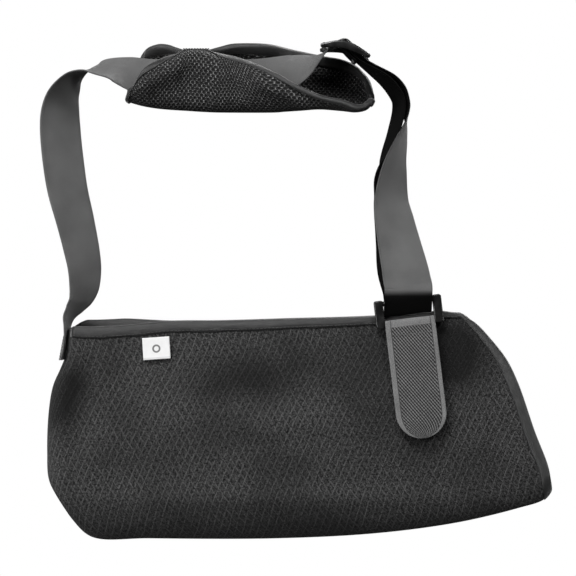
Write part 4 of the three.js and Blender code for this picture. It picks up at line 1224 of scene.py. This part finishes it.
# ---- Label ----
def make_label():
    """Woven label that hangs from the binding's lower edge, its sides curled a little forwards."""
    high_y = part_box("size_label")[1][1] / MM
    top = np.array([-74.6, high_y - 0.35, -180.4])
    lean, half_thick = -0.07, 0.2
    across = np.array([math.cos(lean), 0, math.sin(-lean)])
    down = np.array([-math.sin(lean), -0.13, -math.cos(lean)])
    half = LABEL_WIDTH / 2
    x, d = np.meshgrid(np.linspace(-half, half, 25), np.linspace(-0.5, LABEL_LENGTH, 21), indexing="ij")
    curl = -0.35 * (x / half) ** 2 * d / LABEL_LENGTH + 0.25 * np.sin(d / 3.4) * (d / LABEL_LENGTH)
    points = top + x[..., None] * across + d[..., None] * down - curl[..., None] * FRONT
    normal = grid_normals(points)
    uv = np.stack([x + half, d], axis=-1)
    cloth = normal * half_thick
    return shell("woven_label", points + cloth, points - cloth, uv, all_round=True)


label = place(make_label(), LABEL_FINISH, "label", "label_cloth", "size_label")


# ---- Studio ----
def seen_or_lit(tree, seen, lit, output):
    """Shows one shader to the camera and lets another one light the object."""
    either = tree.nodes.new("ShaderNodeMixShader")
    path = tree.nodes.new("ShaderNodeLightPath")
    tree.links.new(path.outputs["Is Camera Ray"], either.inputs[0])
    tree.links.new(lit.outputs[0], either.inputs[1])
    tree.links.new(seen.outputs[0], either.inputs[2])
    tree.links.new(either.outputs[0], tree.nodes[output].inputs[0])


def floor():
    """White floor below the object, which hardly lights it."""
    mesh = bpy.data.meshes.new("floor")
    half = 1.8
    corners = (-half, -half, 0), (half, -half, 0), (half, half, 0), (-half, half, 0)
    mesh.from_pydata(corners, [], [(0, 1, 2, 3)])
    plane = in_scene("floor", mesh)
    plane.location = (0, 0, -0.62)
    material = bpy.data.materials.new("floor")
    material.use_nodes = True
    tree = material.node_tree
    pale = tree.nodes["Principled BSDF"]
    pale.inputs["Base Color"].default_value = (0.85, 0.85, 0.85, 1)
    pale.inputs["Roughness"].default_value = 0.9
    pale.inputs["Emission Color"].default_value = (1, 1, 1, 1)
    pale.inputs["Emission Strength"].default_value = 0.75
    dim = tree.nodes.new("ShaderNodeBsdfDiffuse")
    dim.inputs["Color"].default_value = (0.04, 0.04, 0.04, 1)
    seen_or_lit(tree, pale, dim, "Material Output")
    mesh.materials.append(material)


def softbox(name, location, size, power):
    """Rectangular light that faces the middle of the object."""
    light = bpy.data.lights.new(name, "AREA")
    light.shape = "RECTANGLE"
    light.size, light.size_y = size
    light.energy = power
    lamp = in_scene(name, light)
    lamp.location = location
    middle = Vector((0.03, 0, -0.14))
    lamp.rotation_euler = (middle - lamp.location).to_track_quat("-Z", "Y").to_euler()


# Lights: name, place, width and height, and watts.
LIGHTS = (
    ("key", (-0.45, -1.25, 1.5), (0.9, 0.7), 39),
    ("back", (0.8, 1.1, 1.05), (0.9, 0.6), 20),
    ("fill", (-1.45, -1.75, 0.1), (1.1, 1.1), 29),
    ("front_right", (0.75, -1.2, 0.55), (0.3, 0.3), 7),
    ("left_strip", (-1.7, 0.1, -0.1), (0.2, 1.2), 6),
    ("right_strip", (1.7, 0.1, -0.1), (0.2, 1.2), 9),
)


def studio():
    """Floor, lights, and a world that is white to the camera and dim to the object."""
    floor()
    for light in LIGHTS:
        softbox(*light)
    world = bpy.data.worlds.new("studio")
    bpy.context.scene.world = world
    world.use_nodes = True
    glow = world.node_tree.nodes["Background"]
    glow.inputs["Strength"].default_value = 0.05
    backdrop = world.node_tree.nodes.new("ShaderNodeBackground")
    for background in (glow, backdrop):
        background.inputs["Color"].default_value = (1, 1, 1, 1)
    seen_or_lit(world.node_tree, backdrop, glow, "World Output")
    bpy.context.scene.view_settings.view_transform = "Standard"


def camera():
    """Level view along +Y that frames 460.8 mm."""
    lens = bpy.data.cameras.new("camera")
    lens.lens, lens.sensor_width = 170, 36
    view = in_scene("camera", lens)
    across = 0.4608
    view.location = (0.0304, -across * lens.lens / lens.sensor_width, -0.1408)
    view.rotation_euler = (math.pi / 2, 0, 0)
    bpy.context.scene.camera = view


studio()
camera()
